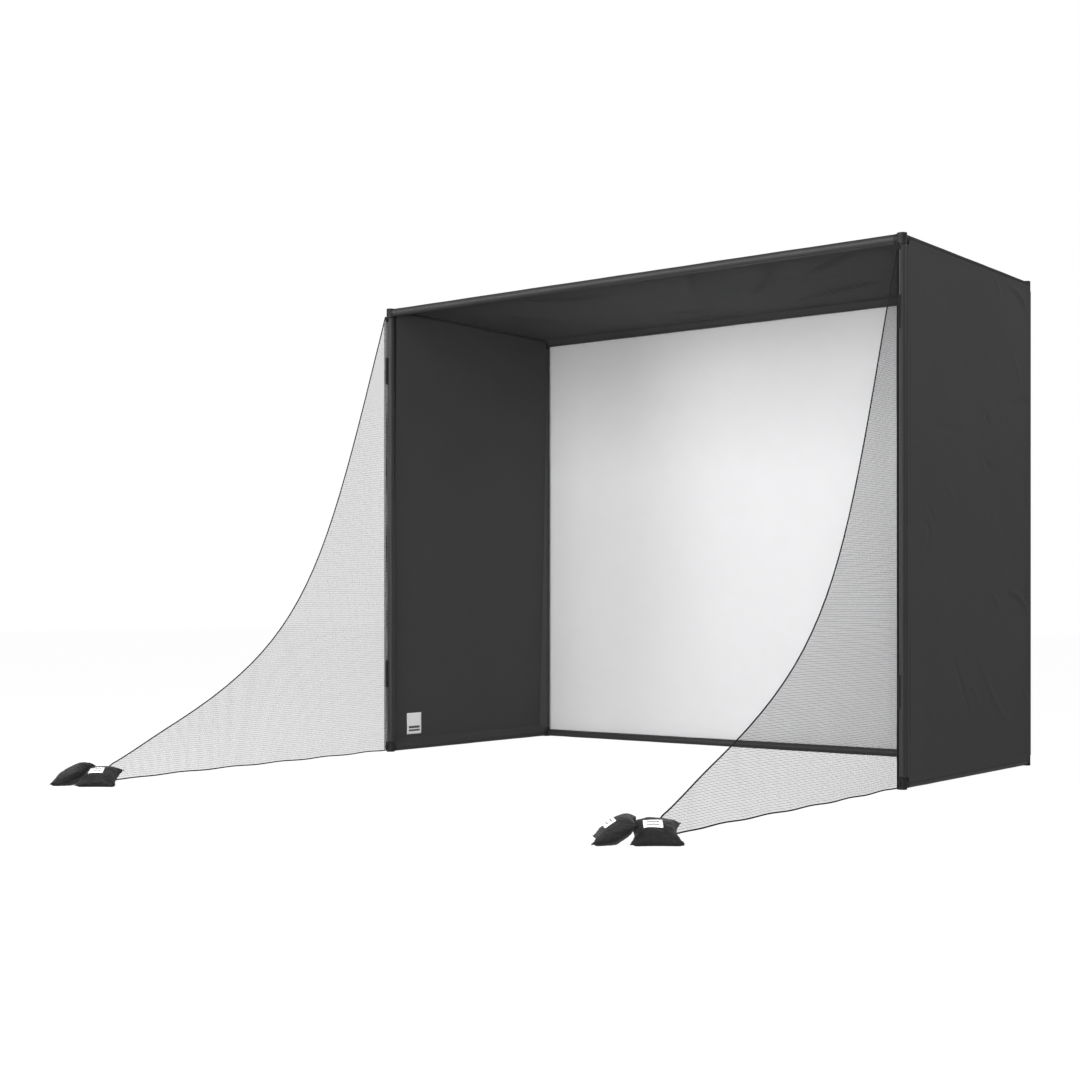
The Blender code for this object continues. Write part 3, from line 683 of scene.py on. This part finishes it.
def strip(name, start, end, width, normal, material):
    """A flat binding from start to end, its middle on that line, thickened along its normal."""
    start, end, normal = (np.array(value, float) for value in (start, end, normal))
    along = (end - start) / np.linalg.norm(end - start)
    side = np.cross(normal, along) * width / 2
    path = resample([start, end], 0.02)
    wander = noise_at(path, 6.0)[:, None] * side / np.linalg.norm(side) * 0.0006
    rows = [path + wander + side * share for share in (-1, -0.8, 0.8, 1)]
    rounding = (0.45, 0.0, 0.0, 0.45)
    points = np.stack([row - normal * SEAM_THICKNESS * drop for row, drop in zip(rows, rounding)], 1)
    faces = grid_faces(len(path), len(rows))
    piece = add_piece(name, points.reshape(-1, 3), faces, MATERIALS[material], "black_webbing")
    thicken(piece, SEAM_THICKNESS)
    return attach(piece, "frame")


def stitch_row(start, end, normal, pitch, gap, reach, lift, radius):
    """Short raised threads along a line, as (points, faces). Gap and reach are shares of the pitch."""
    start, end, normal = (np.array(value, float) for value in (start, end, normal))
    length = np.linalg.norm(end - start)
    along = (end - start) / length
    side = np.cross(normal, along)
    parts = []
    for index in range(int(length / pitch)):
        first = start + along * (index + gap) * pitch
        last = first + along * pitch * reach
        crown = (first + last) / 2 + normal * lift
        parts.append(sweep([first, crown, last], side, radius, sides=4))
    return joined(parts)


def stitches(name, start, end, normal):
    """A row of lock stitches on a wall."""
    points, faces = stitch_row(start, end, normal, **WALL_STITCH)
    piece = add_piece(name, points, faces, MATERIALS["thread"], "black_cover_fabric")
    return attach(piece, "frame")


def wall_seams():
    """The front edge of each wall's sheet is bound outside; the other pockets end in a sewn tape inside."""
    outer = SHEET_OFFSET + SHEET_THICKNESS / 2
    inner = SHEET_OFFSET - SHEET_THICKNESS / 2
    clear = COLLAR_END + 0.004
    for side, outward in SIDES.items():
        x = POST_X[side]
        edge_y = FRONT + SHEET_START + BINDING_WIDTH / 2
        edge_x = x + outward * (outer + SEAM_THICKNESS / 2)
        # The binding is drawn in the darker cloth, whose colour is painted shade for the dark seam line
        # where the wall meets the post's pocket.
        strip(
            f"front_binding_{side}",
            (edge_x, edge_y, LOW + clear),
            (edge_x, edge_y, HIGH - clear),
            BINDING_WIDTH,
            (outward, 0, 0),
            "shaded",
        )
        stitch_x = x + outward * outer
        stitch_y = FRONT + SIDE_SEAM
        ends = (stitch_x, stitch_y, LOW + clear), (stitch_x, stitch_y, HIGH - clear)
        stitches(f"front_stitches_{side}", *ends, (outward, 0, 0))
        tape_x = x + outward * (inner - SEAM_THICKNESS / 2)
        near, far = FRONT + SIDE_SEAM, REAR - SIDE_SEAM
        foot, head = LOW + SIDE_SEAM, HIGH - SIDE_SEAM
        tapes = (
            ("front", (tape_x, near, foot), (tape_x, near, head)),
            ("rear", (tape_x, far, foot), (tape_x, far, head)),
            ("bottom", (tape_x, near, foot), (tape_x, far, foot)),
        )
        for place, start, end in tapes:
            strip(f"{place}_tape_{side}", start, end, SEAM_WIDTH, (-outward, 0, 0), "cover")


# ---------------------------------------------------------------- impact screen


def screen():
    """The white cloth with a slow ripple, drawn flat at its hem."""
    low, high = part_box("impact_screen")
    border = 0.05
    across = spaced([low.x, low.x + border, high.x - border, high.x], SCREEN_STEP)
    upward = spaced([low.z, low.z + border, high.z - border, high.z], SCREEN_STEP)
    places = np.array([(a, 0.0, b) for a in across for b in upward])
    inset = np.minimum.reduce([
        places[:, 0] - low.x, high.x - places[:, 0], places[:, 2] - low.z, high.z - places[:, 2],
    ])
    slow = noise_at(places, 1.6, 2.0) * 0.0045 + noise_at(places, 4.5, 8.0) * 0.0016
    stretch = places * np.array((0.8, 1.0, 5.0))
    drawn = noise_at(stretch, 3.2, 5.0) * 0.0008
    ripple = smooth_step((inset - 0.03) / 0.16) * np.clip(slow + drawn + 0.0012, -0.0015, 0.006)
    places[:, 1] = (low.y + high.y) / 2 + ripple
    faces = grid_faces(len(across), len(upward))
    piece = add_piece("screen_cloth", places, faces, MATERIALS["screen"], "impact_screen_fabric")
    thicken(piece, high.y - low.y)
    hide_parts("impact_screen")
    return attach(piece, "screen")


def screen_hem():
    """Four lengths of tape behind the cloth's edges, mitred at the corners."""
    low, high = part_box("screen_hem")
    y = (low.y + high.y) / 2
    outer = [(low.x, low.z), (high.x, low.z), (high.x, high.z), (low.x, high.z), (low.x, low.z)]
    inner = [
        (x + (TAPE_WIDTH if x == low.x else -TAPE_WIDTH), z + (TAPE_WIDTH if z == low.z else -TAPE_WIDTH))
        for x, z in outer
    ]
    points, faces = [], []
    for index in range(4):
        outer_path = resample([outer[index], outer[index + 1]], 0.03)
        inner_path = np.linspace(inner[index], inner[index + 1], len(outer_path))
        start = len(points)
        for out, inn in zip(outer_path, inner_path):
            for share in (0.0, 0.06, 0.94, 1.0):
                x, z = out + (inn - out) * share
                points.append((x, y + (0.0002 if 0 < share < 1 else -0.0002), z))
        faces += grid_faces(len(outer_path), 4, start=start)
    piece = add_piece("screen_hem_tape", points, faces, MATERIALS["hem"], "black_webbing")
    thicken(piece, (high.y - low.y) * 0.8)
    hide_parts("screen_hem")
    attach(piece, "screen")
    for index in range(4):
        rows = []
        for share in (0.12, 0.88):
            ends = []
            for place in (index, index + 1):
                x, z = np.array(outer[place]) * (1 - share) + np.array(inner[place]) * share
                ends.append((x, high.y + 0.0001, z))
            rows.append(stitch_row(*ends, (0, 1, 0), **HEM_STITCH))
        name = f"screen_hem_stitches_{index + 1}"
        row = add_piece(name, *joined(rows), MATERIALS["thread"], "black_webbing")
        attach(row, "screen")


def ball_points(centre, radius, squash=1.0):
    """A round body whose poles lie along Y."""
    rings, sides = 14, 20
    points = []
    for ring in range(rings + 1):
        lift = math.pi * ring / rings
        for side in range(sides):
            turn = 2 * math.pi * side / sides
            points.append((
                centre[0] + radius * math.sin(lift) * math.cos(turn),
                centre[1] - radius * squash * math.cos(lift),
                centre[2] + radius * math.sin(lift) * math.sin(turn),
            ))
    return points, [face[::-1] for face in grid_faces(rings + 1, sides, closed=True)]


def tie(node):
    """A ball tie: a tab sewn to the pocket, an elastic loop through the hem's eyelet, and the ball."""
    low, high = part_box(node)
    x, z = (low.x + high.x) / 2, (low.z + high.z) / 2
    radius = (high.x - low.x) / 2
    ball_y = high.y - radius
    tab_y = low.y + 0.0008
    hem_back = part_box("screen_hem")[1].y
    knot = (x, high.y - 0.0012, z)
    parts = []
    for aside in (-1, 1):
        path = resample([(x + aside * 0.0036, tab_y, z), (x + aside * 0.0019, ball_y, z)], 0.002)
        parts.append(sweep(path, (0, 0, 1), 0.0017, sides=10, lobes=3, depth=0.10, lay=0.006))
    parts.append(ball_points(knot, KNOT_RADIUS, 0.8))
    points, faces = joined(parts)
    label = node.removeprefix("screen_tie_")
    loop = add_piece(f"elastic_loop_{label}", points, faces, MATERIALS["elastic"], "black_elastic")
    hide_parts(node)
    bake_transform(loop)
    round_ball = ball_points((x, ball_y, z), radius, 0.93)
    ball = add_piece(f"tie_ball_{label}", *round_ball, MATERIALS["ball"], "black_elastic")
    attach(ball, "screen")
    square = cushion_tab(x, tab_y, z)
    tab = add_piece(f"tie_tab_{label}", *square, MATERIALS["webbing"], "black_webbing")
    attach(tab, "frame")
    turns = np.linspace(0, 2 * math.pi, 25)
    across, up = EYELET_RADIUS * np.cos(turns), EYELET_RADIUS * np.sin(turns)
    ring = np.column_stack([x + across, np.full(len(turns), hem_back + 0.0002), z + up])
    points, faces = sweep(ring, (0, 1, 0), EYELET_WIRE, sides=8)
    eyelet = add_piece(f"eyelet_{label}", points, faces, MATERIALS["plated"], "black_webbing")
    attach(eyelet, "screen")


def cushion_tab(x, y, z):
    """A small square of webbing with rounded corners and edges."""
    turns = 2 * math.pi * np.arange(TAB_SIDES) / TAB_SIDES
    square = [np.sign(wave) * np.abs(wave) ** 0.4 for wave in (np.cos(turns), np.sin(turns))]
    points = []
    levels = ((0.0, 0.0), (0.9, 0.0), (1.0, 0.5), (0.9, 1.0), (0.0, 1.0))
    for share, depth in levels:
        for a, b in zip(*square):
            reach = share * TAB_SIZE / 2
            points.append((x + a * reach, y + (depth - 0.5) * TAB_THICKNESS, z + b * reach))
    return points, [face[::-1] for face in grid_faces(len(levels), TAB_SIDES, closed=True)]


# ---------------------------------------------------------------- side nets


def net_frame(side):
    """The hinge line's foot, and the level direction in which the net runs from it."""
    joint = next(joint for joint in frame["joints"] if joint["name"] == f"{side}_net_swing")
    hinge = np.array(joint["pos_m"], float)
    hinge[2] = 0.0
    points = np.array([vertex.co for vertex in frame["nodes"][f"side_net_{side}"].data.vertices])
    level = points[:, :2] - hinge[:2]
    reach = np.linalg.norm(level, axis=1)
    along = level[reach > reach.max() - 0.0015].mean(axis=0)
    along = np.array((*(along / np.linalg.norm(along)), 0.0))
    return hinge, along, np.cross((0, 0, 1), along)


def net_outline(side, hinge, along):
    """The leading edge and foot of the netting, from its top to its heel, as (along, up) pairs."""
    mesh = frame["nodes"][f"side_net_{side}"].data
    points = positions(mesh) - hinge
    flat = np.column_stack([points @ along, points[:, 2]])
    segments = flat[np.array([edge.vertices for edge in mesh.edges])]
    tip, tip_height = flat[flat[:, 0].argmax()]
    trim = 0.0005
    heights = np.linspace(flat[:, 1].max() - trim, tip_height + trim, 240)
    reaches = np.linspace(tip - trim, 0.015, 160)
    lead = [(crossings(segments, height, 1)[1], height) for height in heights]
    dipped = []
    for reach, height in lead:
        dip = LEAD_DIP * float(smooth_step((reach - tip + 0.40) / 0.36))
        dipped.append((reach, max(height - dip, tip_height + trim)))
    foot = [(reach, crossings(segments, reach, 0)[0]) for reach in reaches]
    return np.array(dipped + foot)


def spread_outward(edge, distance):
    """An open line moved sideways, to its left as it is walked from top to heel."""
    tangent = np.gradient(edge, axis=0)
    tangent /= np.linalg.norm(tangent, axis=1)[:, None]
    normal = np.column_stack([-tangent[:, 1], tangent[:, 0]])
    return edge + normal * distance


def crossings(segments, level, axis):
    """Where segments cross a level of one coordinate, as the lowest and highest other one."""
    start, end = segments[:, 0], segments[:, 1]
    crossed = (start[:, axis] - level) * (end[:, axis] - level) < 0
    if not crossed.any():
        return None
    start, end = start[crossed], end[crossed]
    share = (level - start[:, axis]) / (end[:, axis] - start[:, axis])
    other = start[:, 1 - axis] + share * (end[:, 1 - axis] - start[:, 1 - axis])
    return other.min(), other.max()


def hang(flat, hinge, along, across, tip):
    """Places in the net's own plane, put into space with its wavy foot and its slow sway."""
    reach, up = flat[:, 0], flat[:, 1]
    inside = smooth_step(reach / 0.12) * smooth_step((tip - reach) / 0.35)
    wave = (0.5 - 0.5 * np.cos(2 * math.pi * reach / 0.34)) * 0.0045 * inside * np.exp(-up / 0.10)
    sway = np.sin(reach * 2.9 + up * 1.1) * np.cos(up * 2.0 - 0.4) * 0.010 * inside
    level = hinge + reach[:, None] * along + sway[:, None] * across
    return level + (up + wave)[:, None] * np.array((0, 0, 1.0))


def net(side):
    hinge, along, across = net_frame(side)
    edge = net_outline(side, hinge, along)
    front = spread_outward(edge, CORD_RADIUS + 0.0003)
    top, heel = front[0, 1], front[-1, 1]
    tip = front[:, 0].max()
    front = np.concatenate([[(0.0, top)], front[front[:, 0] > 0.001], [(0.0, heel)]])
    body = f"{side}_net"

    def laid(flat):
        return hang(np.asarray(flat), hinge, along, across, tip)

    sides = np.stack([front, np.roll(front, -1, axis=0)], 1)
    parts = []
    for axis, start, last, pitch in ((1, heel, top, COURSE_PITCH), (0, 0.0, tip, WALE_PITCH)):
        for number, level in enumerate(np.arange(start + pitch / 2, last, pitch)):
            span = crossings(sides, level, axis)
            if span is None or span[1] - span[0] < pitch:
                continue
            ends = [(span[0], level), (span[1], level)] if axis else [(level, span[0]), (level, span[1])]
            course = THIN_STRAND if number % 2 else THICK_STRAND
            strand = laid(resample(ends, STRAND_STEP))
            parts.append(sweep(strand, across, course if axis else WALE_STRAND, sides=3))
    for index in range(HEM_STRANDS):
        level = 0.0015 + HEM_DEPTH * index / (HEM_STRANDS - 1)
        strand = laid(resample([(level, heel + 0.004), (level, top - 0.03)], STRAND_STEP))
        parts.append(sweep(strand, across, THICK_STRAND, sides=3))
    points, faces = joined(parts)
    name = f"netting_{side}"
    netting = add_piece(name, points, faces, MATERIALS["netting"], "black_netting", smooth=False)
    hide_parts(f"side_net_{side}")
    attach(netting, body)

    rope = {"sides": 10, "lobes": 3, "depth": 0.13, "lay": CORD_LAY}
    rear = [(0.0, heel), (0.0, top)]
    lines = [laid(resample(line, CORD_STEP)) for line in (front, rear)]
    points, faces = joined([sweep(line, across, CORD_RADIUS, **rope) for line in lines])
    cord = add_piece(f"border_cord_{side}", points, faces, MATERIALS["cord"], "black_border_cord")
    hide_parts(f"net_cord_{side}")
    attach(cord, body)


# ---------------------------------------------------------------- weight bags

BAG_SWELL = {"front": 0.009, "rear": 0.020}
BAG_VOXEL = 0.0026
AIR_PRESSURE = 8.0
INFLATE_FRAMES = 12
NEIGHBOUR_SHARE = 0.35  # of the way to the next bag that a point may move
RIM_SECTORS = 40
BAR_WIDTH = 0.62  # a label bar's size, as shares of the label's
BAR_DEPTH = 0.09


def baked(piece):
    """The piece with its modifiers applied."""
    graph = bpy.context.evaluated_depsgraph_get()
    mesh = bpy.data.meshes.new_from_object(piece.evaluated_get(graph))
    piece.modifiers.clear()
    old, piece.data = piece.data, mesh
    bpy.data.meshes.remove(old)
    return piece


def inflate(piece, most, neighbour):
    """Cloth simulation with air inside. A point moves no farther than most, and less near the neighbour."""
    rest = positions(piece.data)
    modifier = piece.modifiers.new("Air", "CLOTH")
    modifier.settings.use_pressure = True
    modifier.settings.uniform_pressure_force = AIR_PRESSURE
    modifier.settings.effector_weights.gravity = 0.0
    modifier.point_cache.frame_start = 1
    modifier.point_cache.frame_end = INFLATE_FRAMES
    for step in range(1, INFLATE_FRAMES + 1):
        bpy.context.scene.frame_set(step)
    graph = bpy.context.evaluated_depsgraph_get()
    moved = positions(piece.evaluated_get(graph).data) - rest
    piece.modifiers.clear()
    bpy.context.scene.frame_set(1)
    room = KDTree(len(neighbour))
    for index, point in enumerate(neighbour):
        room.insert(point, index)
    room.balance()
    clear = np.array([room.find(point)[2] for point in rest])
    allowed = np.minimum(most, clear * NEIGHBOUR_SHARE)
    length = np.linalg.norm(moved, axis=1)
    moved *= np.minimum(1.0, allowed / np.maximum(length, 1e-9))[:, None]
    swollen = rest + moved
    swollen[:, 2] = np.maximum(swollen[:, 2], rest[:, 2].min())
    piece.data.vertices.foreach_set("co", swollen.ravel())
    piece.data.update()


def vertex_normals(mesh):
    flat = np.empty(len(mesh.vertices) * 3)
    mesh.vertices.foreach_get("normal", flat)
    return flat.reshape(-1, 3)


def bag(side, place, seed):
    """A filled pillow of pack cloth, with dents, and creases that run in from its pinched corners."""
    node = f"{place}_bag_{side}"
    neighbour = f"{'rear' if place == 'front' else 'front'}_bag_{side}"
    mesh = frame["nodes"][node].data.copy()
    piece = bpy.data.objects.new(f"{place}_pouch_{side}", mesh)
    bpy.context.scene.collection.objects.link(piece)
    rim = bag_rim(positions(mesh))
    remesh = piece.modifiers.new("Even", "REMESH")
    remesh.mode = "VOXEL"
    remesh.voxel_size = BAG_VOXEL
    baked(piece)
    inflate(piece, BAG_SWELL[place], positions(frame["nodes"][neighbour].data))
    relax = piece.modifiers.new("Relax", "SMOOTH")
    relax.iterations = 2
    relax.factor = 0.5
    baked(piece)
    crease(piece.data, rim, seed)
    piece.data.materials.clear()
    piece.data.materials.append(MATERIALS["nylon"])
    piece.data.shade_smooth()
    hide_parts(node)
    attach(piece, f"{side}_{place}_bag")
    return piece


def bag_rim(points):
    """The seam round a bag: its outermost points in plan, by direction from the middle."""
    flat = np.unique(np.round(points, 5), axis=0)
    centre = (flat.min(axis=0) + flat.max(axis=0)) / 2
    out = flat - centre
    angle = np.arctan2(out[:, 1], out[:, 0])
    reach = np.linalg.norm(out[:, :2], axis=1)
    rim = []
    for index in range(RIM_SECTORS):
        middle_angle = -math.pi + (index + 0.5) * 2 * math.pi / RIM_SECTORS
        gap = np.abs((angle - middle_angle + math.pi) % (2 * math.pi) - math.pi)
        near = np.where(gap < math.pi / RIM_SECTORS)[0]
        if len(near):
            rim.append(flat[near[reach[near].argmax()]])
    return np.array(rim)


def crease(mesh, rim, seed):
    """Dents and creases, kept off the floor side."""
    points, normals = positions(mesh), vertex_normals(mesh)
    low = points[:, 2].min()
    corners = rim[np.argsort(np.linalg.norm(rim[:, :2] - rim[:, :2].mean(axis=0), axis=1))[-8:]]
    nearest = np.linalg.norm(points[:, None, :] - corners[None], axis=2).min(axis=1)
    dents = noise_at(points, 16.0, seed) * 0.0050
    folds = np.array([
        1 - 2 * abs(noise.noise(Vector((p[0] * 30 + seed, p[1] * 30, p[2] * 60)))) for p in points
    ]) * 0.0022
    fine = noise_at(points, 75.0, seed + 4) * 0.0007
    near_corner = 0.45 + 0.9 * np.exp(-((nearest / 0.06) ** 2))
    height = dents + (folds - 0.0012) * near_corner + fine
    free = smooth_step((points[:, 2] - low) / 0.012)
    height = np.clip(height, -0.006, 0.0035) * free
    mesh.vertices.foreach_set("co", (points + normals * height[:, None]).ravel())
    mesh.update()


def bag_label(name, pouch, body, aim, turn, lift, proud=0.0):
    """A blank cloth label with two plain bars, laid on a bag from the direction (turn, lift) about aim."""
    width, depth = 0.070, 0.048
    facing = Vector((math.sin(turn) * math.cos(lift), -math.cos(turn) * math.cos(lift), math.sin(lift)))
    aside = Vector((math.cos(turn), math.sin(turn), 0))
    upward = facing.cross(aside)
    place = Matrix((aside, upward, facing)).transposed().to_4x4()
    place.translation = Vector(aim) + facing * 0.25
    patches = (
        ("label", 0.0, width, depth, 0.0007, "label"),
        ("bar_1", 0.20 * depth, width * BAR_WIDTH, depth * BAR_DEPTH, 0.0011, "print"),
        ("bar_2", -0.16 * depth, width * BAR_WIDTH, depth * BAR_DEPTH, 0.0011, "print"),
    )
    for part, up, wide, deep, stand, kind in patches:
        columns = np.linspace(-wide / 2, wide / 2, 19)
        rows = np.linspace(-deep / 2, deep / 2, 13) + up
        points = [(a, b, 0.0) for a in columns for b in rows]
        faces = grid_faces(len(columns), len(rows))
        piece = add_piece(f"{name}_{part}", points, faces, MATERIALS[kind], "impact_screen_fabric")
        piece.matrix_world = place
        bpy.context.view_layer.update()
        wrap = piece.modifiers.new("Lie", "SHRINKWRAP")
        wrap.target = pouch
        wrap.wrap_method = "PROJECT"
        wrap.use_project_z = True
        wrap.use_negative_direction = True
        wrap.use_positive_direction = False
        wrap.offset = stand + proud
        settle = piece.modifiers.new("Settle", "SMOOTH")
        settle.iterations = 2
        thicken(piece, LABEL_THICKNESS)
        baked(piece)
        piece.data.shade_smooth()
        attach(piece, body)


def bag_labels(pouches):
    """A label on each front bag and on the right rear one."""
    turn, lift = math.radians(38), math.radians(48)
    for side in SIDES:
        aim = middle(f"front_bag_{side}") + Vector((-0.008, -0.006, 0.018))
        bag_label(f"front_label_{side}", pouches[side, "front"], f"{side}_front_bag", aim, turn, lift)
    turn, lift = math.radians(34 - 80), math.radians(60)
    aim = middle("rear_bag_right") + Vector((-0.010, -0.014, 0.02))
    bag_label("rear_label_right", pouches["right", "rear"], "right_rear_bag", aim, turn, lift, 0.0012)


def wall_label():
    """A blank white label sewn inside the left wall near its front foot, with two plain bars."""
    x = LEFT - SHEET_OFFSET + SHEET_THICKNESS / 2
    low = np.array((FRONT + 0.152, 0.087))
    size = np.array((0.121, 0.121))
    patches = (
        ("label", (0.0, 0.0), (1.0, 1.0), 0.0040, "label"),
        ("bar_1", (0.12, 0.27), (0.88, 0.38), 0.0046, "print"),
        ("bar_2", (0.12, 0.13), (0.88, 0.22), 0.0046, "print"),
    )
    for part, start, end, stand, kind in patches:
        columns = low[0] + size[0] * np.linspace(start[0], end[0], 17)
        rows = low[1] + size[1] * np.linspace(start[1], end[1], 17)
        places = np.array([(0.0, y, z) for y in columns for z in rows])
        places[:, 0] = x + stand + noise_at(places, 20.0, 2.0) * 0.0012
        faces = grid_faces(len(columns), len(rows))
        piece = add_piece(f"wall_{part}", places, faces, MATERIALS[kind], "impact_screen_fabric")
        thicken(piece, LABEL_THICKNESS)
        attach(piece, "frame")


for wall_side in SIDES:
    net(wall_side)
wall_seams()
screen()
screen_hem()
for node_name in sorted(frame["nodes"]):
    if node_name.startswith("screen_tie_"):
        tie(node_name)
pouches = {}
for number, bag_side in enumerate(SIDES):
    for bag_place in ("front", "rear"):
        start_at = 1.0 + 6.0 * number + (3.0 if bag_place == "rear" else 0.0)
        pouch = bag(bag_side, bag_place, start_at)
        pouches[bag_side, bag_place] = pouch
bag_labels(pouches)
wall_label()

# ---------------------------------------------------------------- carried-over CAD nodes


def finish_cad_nodes():
    """New materials for the nodes whose CAD shape is shown."""
    by_name = (
        ("corner", "fitting"),
        ("splice", "plated"),
        ("upright", "steel"),
        ("rail", "steel"),
        ("net_loop", "webbing"),
    )
    for name, node in frame["nodes"].items():
        if node.hide_render:
            continue
        kind = next((material for word, material in by_name if word in name), None)
        if kind is None:
            continue
        node.data.materials.clear()
        node.data.materials.append(MATERIALS[kind])


finish_cad_nodes()


# ---------------------------------------------------------------- floor, light, camera

STUDIO_LEVEL = 0.48
ZENITH_LEVEL = 0.14
FLOOR_LEVEL = 0.33
KEY_POWER = 285.0
EDGE_POWER = 155.0
FILL_POWER = 290.0
RAKE_POWER = 62.0
FLOOR_REACH = 40.0
FLOOR_SEEN = 0.96


def stage():
    """A pale floor that looks white to the camera and shines less on the object."""
    mesh = bpy.data.meshes.new("floor")
    corners = [(FLOOR_REACH * a, FLOOR_REACH * b, 0) for a, b in ((-1, -1), (1, -1), (1, 1), (-1, 1))]
    mesh.from_pydata(corners, [], [(0, 1, 2, 3)])
    floor = bpy.data.objects.new("floor", mesh)
    bpy.context.scene.collection.objects.link(floor)
    material, tree, place = start_material("floor_paint")
    tone = varied(tree, (0.10, 0.10, 0.10), 0.02, soft_noise(tree, place, 0.6))
    seen = add_node(tree, "ShaderNodeLightPath").outputs["Is Camera Ray"]
    levels = {"Value": seen, "To Min": FLOOR_LEVEL, "To Max": FLOOR_SEEN}
    glow = add_node(tree, "ShaderNodeMapRange", None, levels)
    finish_material(
        material,
        tree,
        base_color=tone,
        roughness=0.9,
        specular_ior_level=0.0,
        emission_color=(1, 1, 1, 1),
        emission_strength=glow.outputs["Result"],
    )
    mesh.materials.append(material)


def light():
    """An even white surround that is seen brighter than it shines, and four soft boxes."""
    world = bpy.data.worlds.new("studio")
    bpy.context.scene.world = world
    world.use_nodes = True
    tree = world.node_tree
    backdrop = tree.nodes["Background"]
    backdrop.inputs["Color"].default_value = (1, 1, 1, 1)
    seen = add_node(tree, "ShaderNodeLightPath").outputs["Is Camera Ray"]
    way = add_node(tree, "ShaderNodeTexCoord").outputs["Generated"]
    height = add_node(tree, "ShaderNodeSeparateXYZ", None, {"Vector": way}).outputs["Z"]
    levels = {"Value": height, "To Min": STUDIO_LEVEL, "To Max": ZENITH_LEVEL}
    shine = add_node(tree, "ShaderNodeMapRange", None, levels)
    levels = {"Value": seen, "To Min": shine.outputs["Result"], "To Max": 1.0}
    level = add_node(tree, "ShaderNodeMapRange", None, levels)
    tree.links.new(level.outputs["Result"], backdrop.inputs["Strength"])
    softbox("key_light", (CENTRE - 0.3, FRONT - 5.2, 3.3), (CENTRE + 0.3, REAR, 1.2), 4.0, KEY_POWER)
    softbox("edge_light", (CENTRE - 4.6, FRONT - 5.0, 2.4), (CENTRE, FRONT, 2.2), 1.8, EDGE_POWER)
    softbox("fill_light", (CENTRE + 4.9, FRONT - 7.2, 1.3), (CENTRE, FRONT + 0.6, 1.1), 1.2, FILL_POWER)
    softbox("rake_light", (RIGHT + 3.0, REAR + 2.0, 4.6), (RIGHT, FRONT + 0.8, 1.2), 0.7, RAKE_POWER)


def softbox(name, place, target, size, power):
    data = bpy.data.lights.new(name, "AREA")
    data.size = size
    data.energy = power
    lamp = bpy.data.objects.new(name, data)
    lamp.location = place
    lamp.rotation_euler = (Vector(target) - Vector(place)).to_track_quat("-Z", "Y").to_euler()
    lamp.visible_camera = False
    bpy.context.scene.collection.objects.link(lamp)


def camera():
    data = bpy.data.cameras.new("camera")
    data.lens = 55.66
    data.sensor_width = 36.0
    data.shift_y = 0.0596
    eye = bpy.data.objects.new("camera", data)
    eye.location = (CENTRE + 4.9135, FRONT - 6.9091, 0.8314)
    eye.rotation_euler = (math.radians(90), 0, math.radians(38.062))
    bpy.context.scene.collection.objects.link(eye)
    bpy.context.scene.camera = eye
    bpy.context.scene.view_settings.view_transform = "Standard"


stage()
light()
camera()
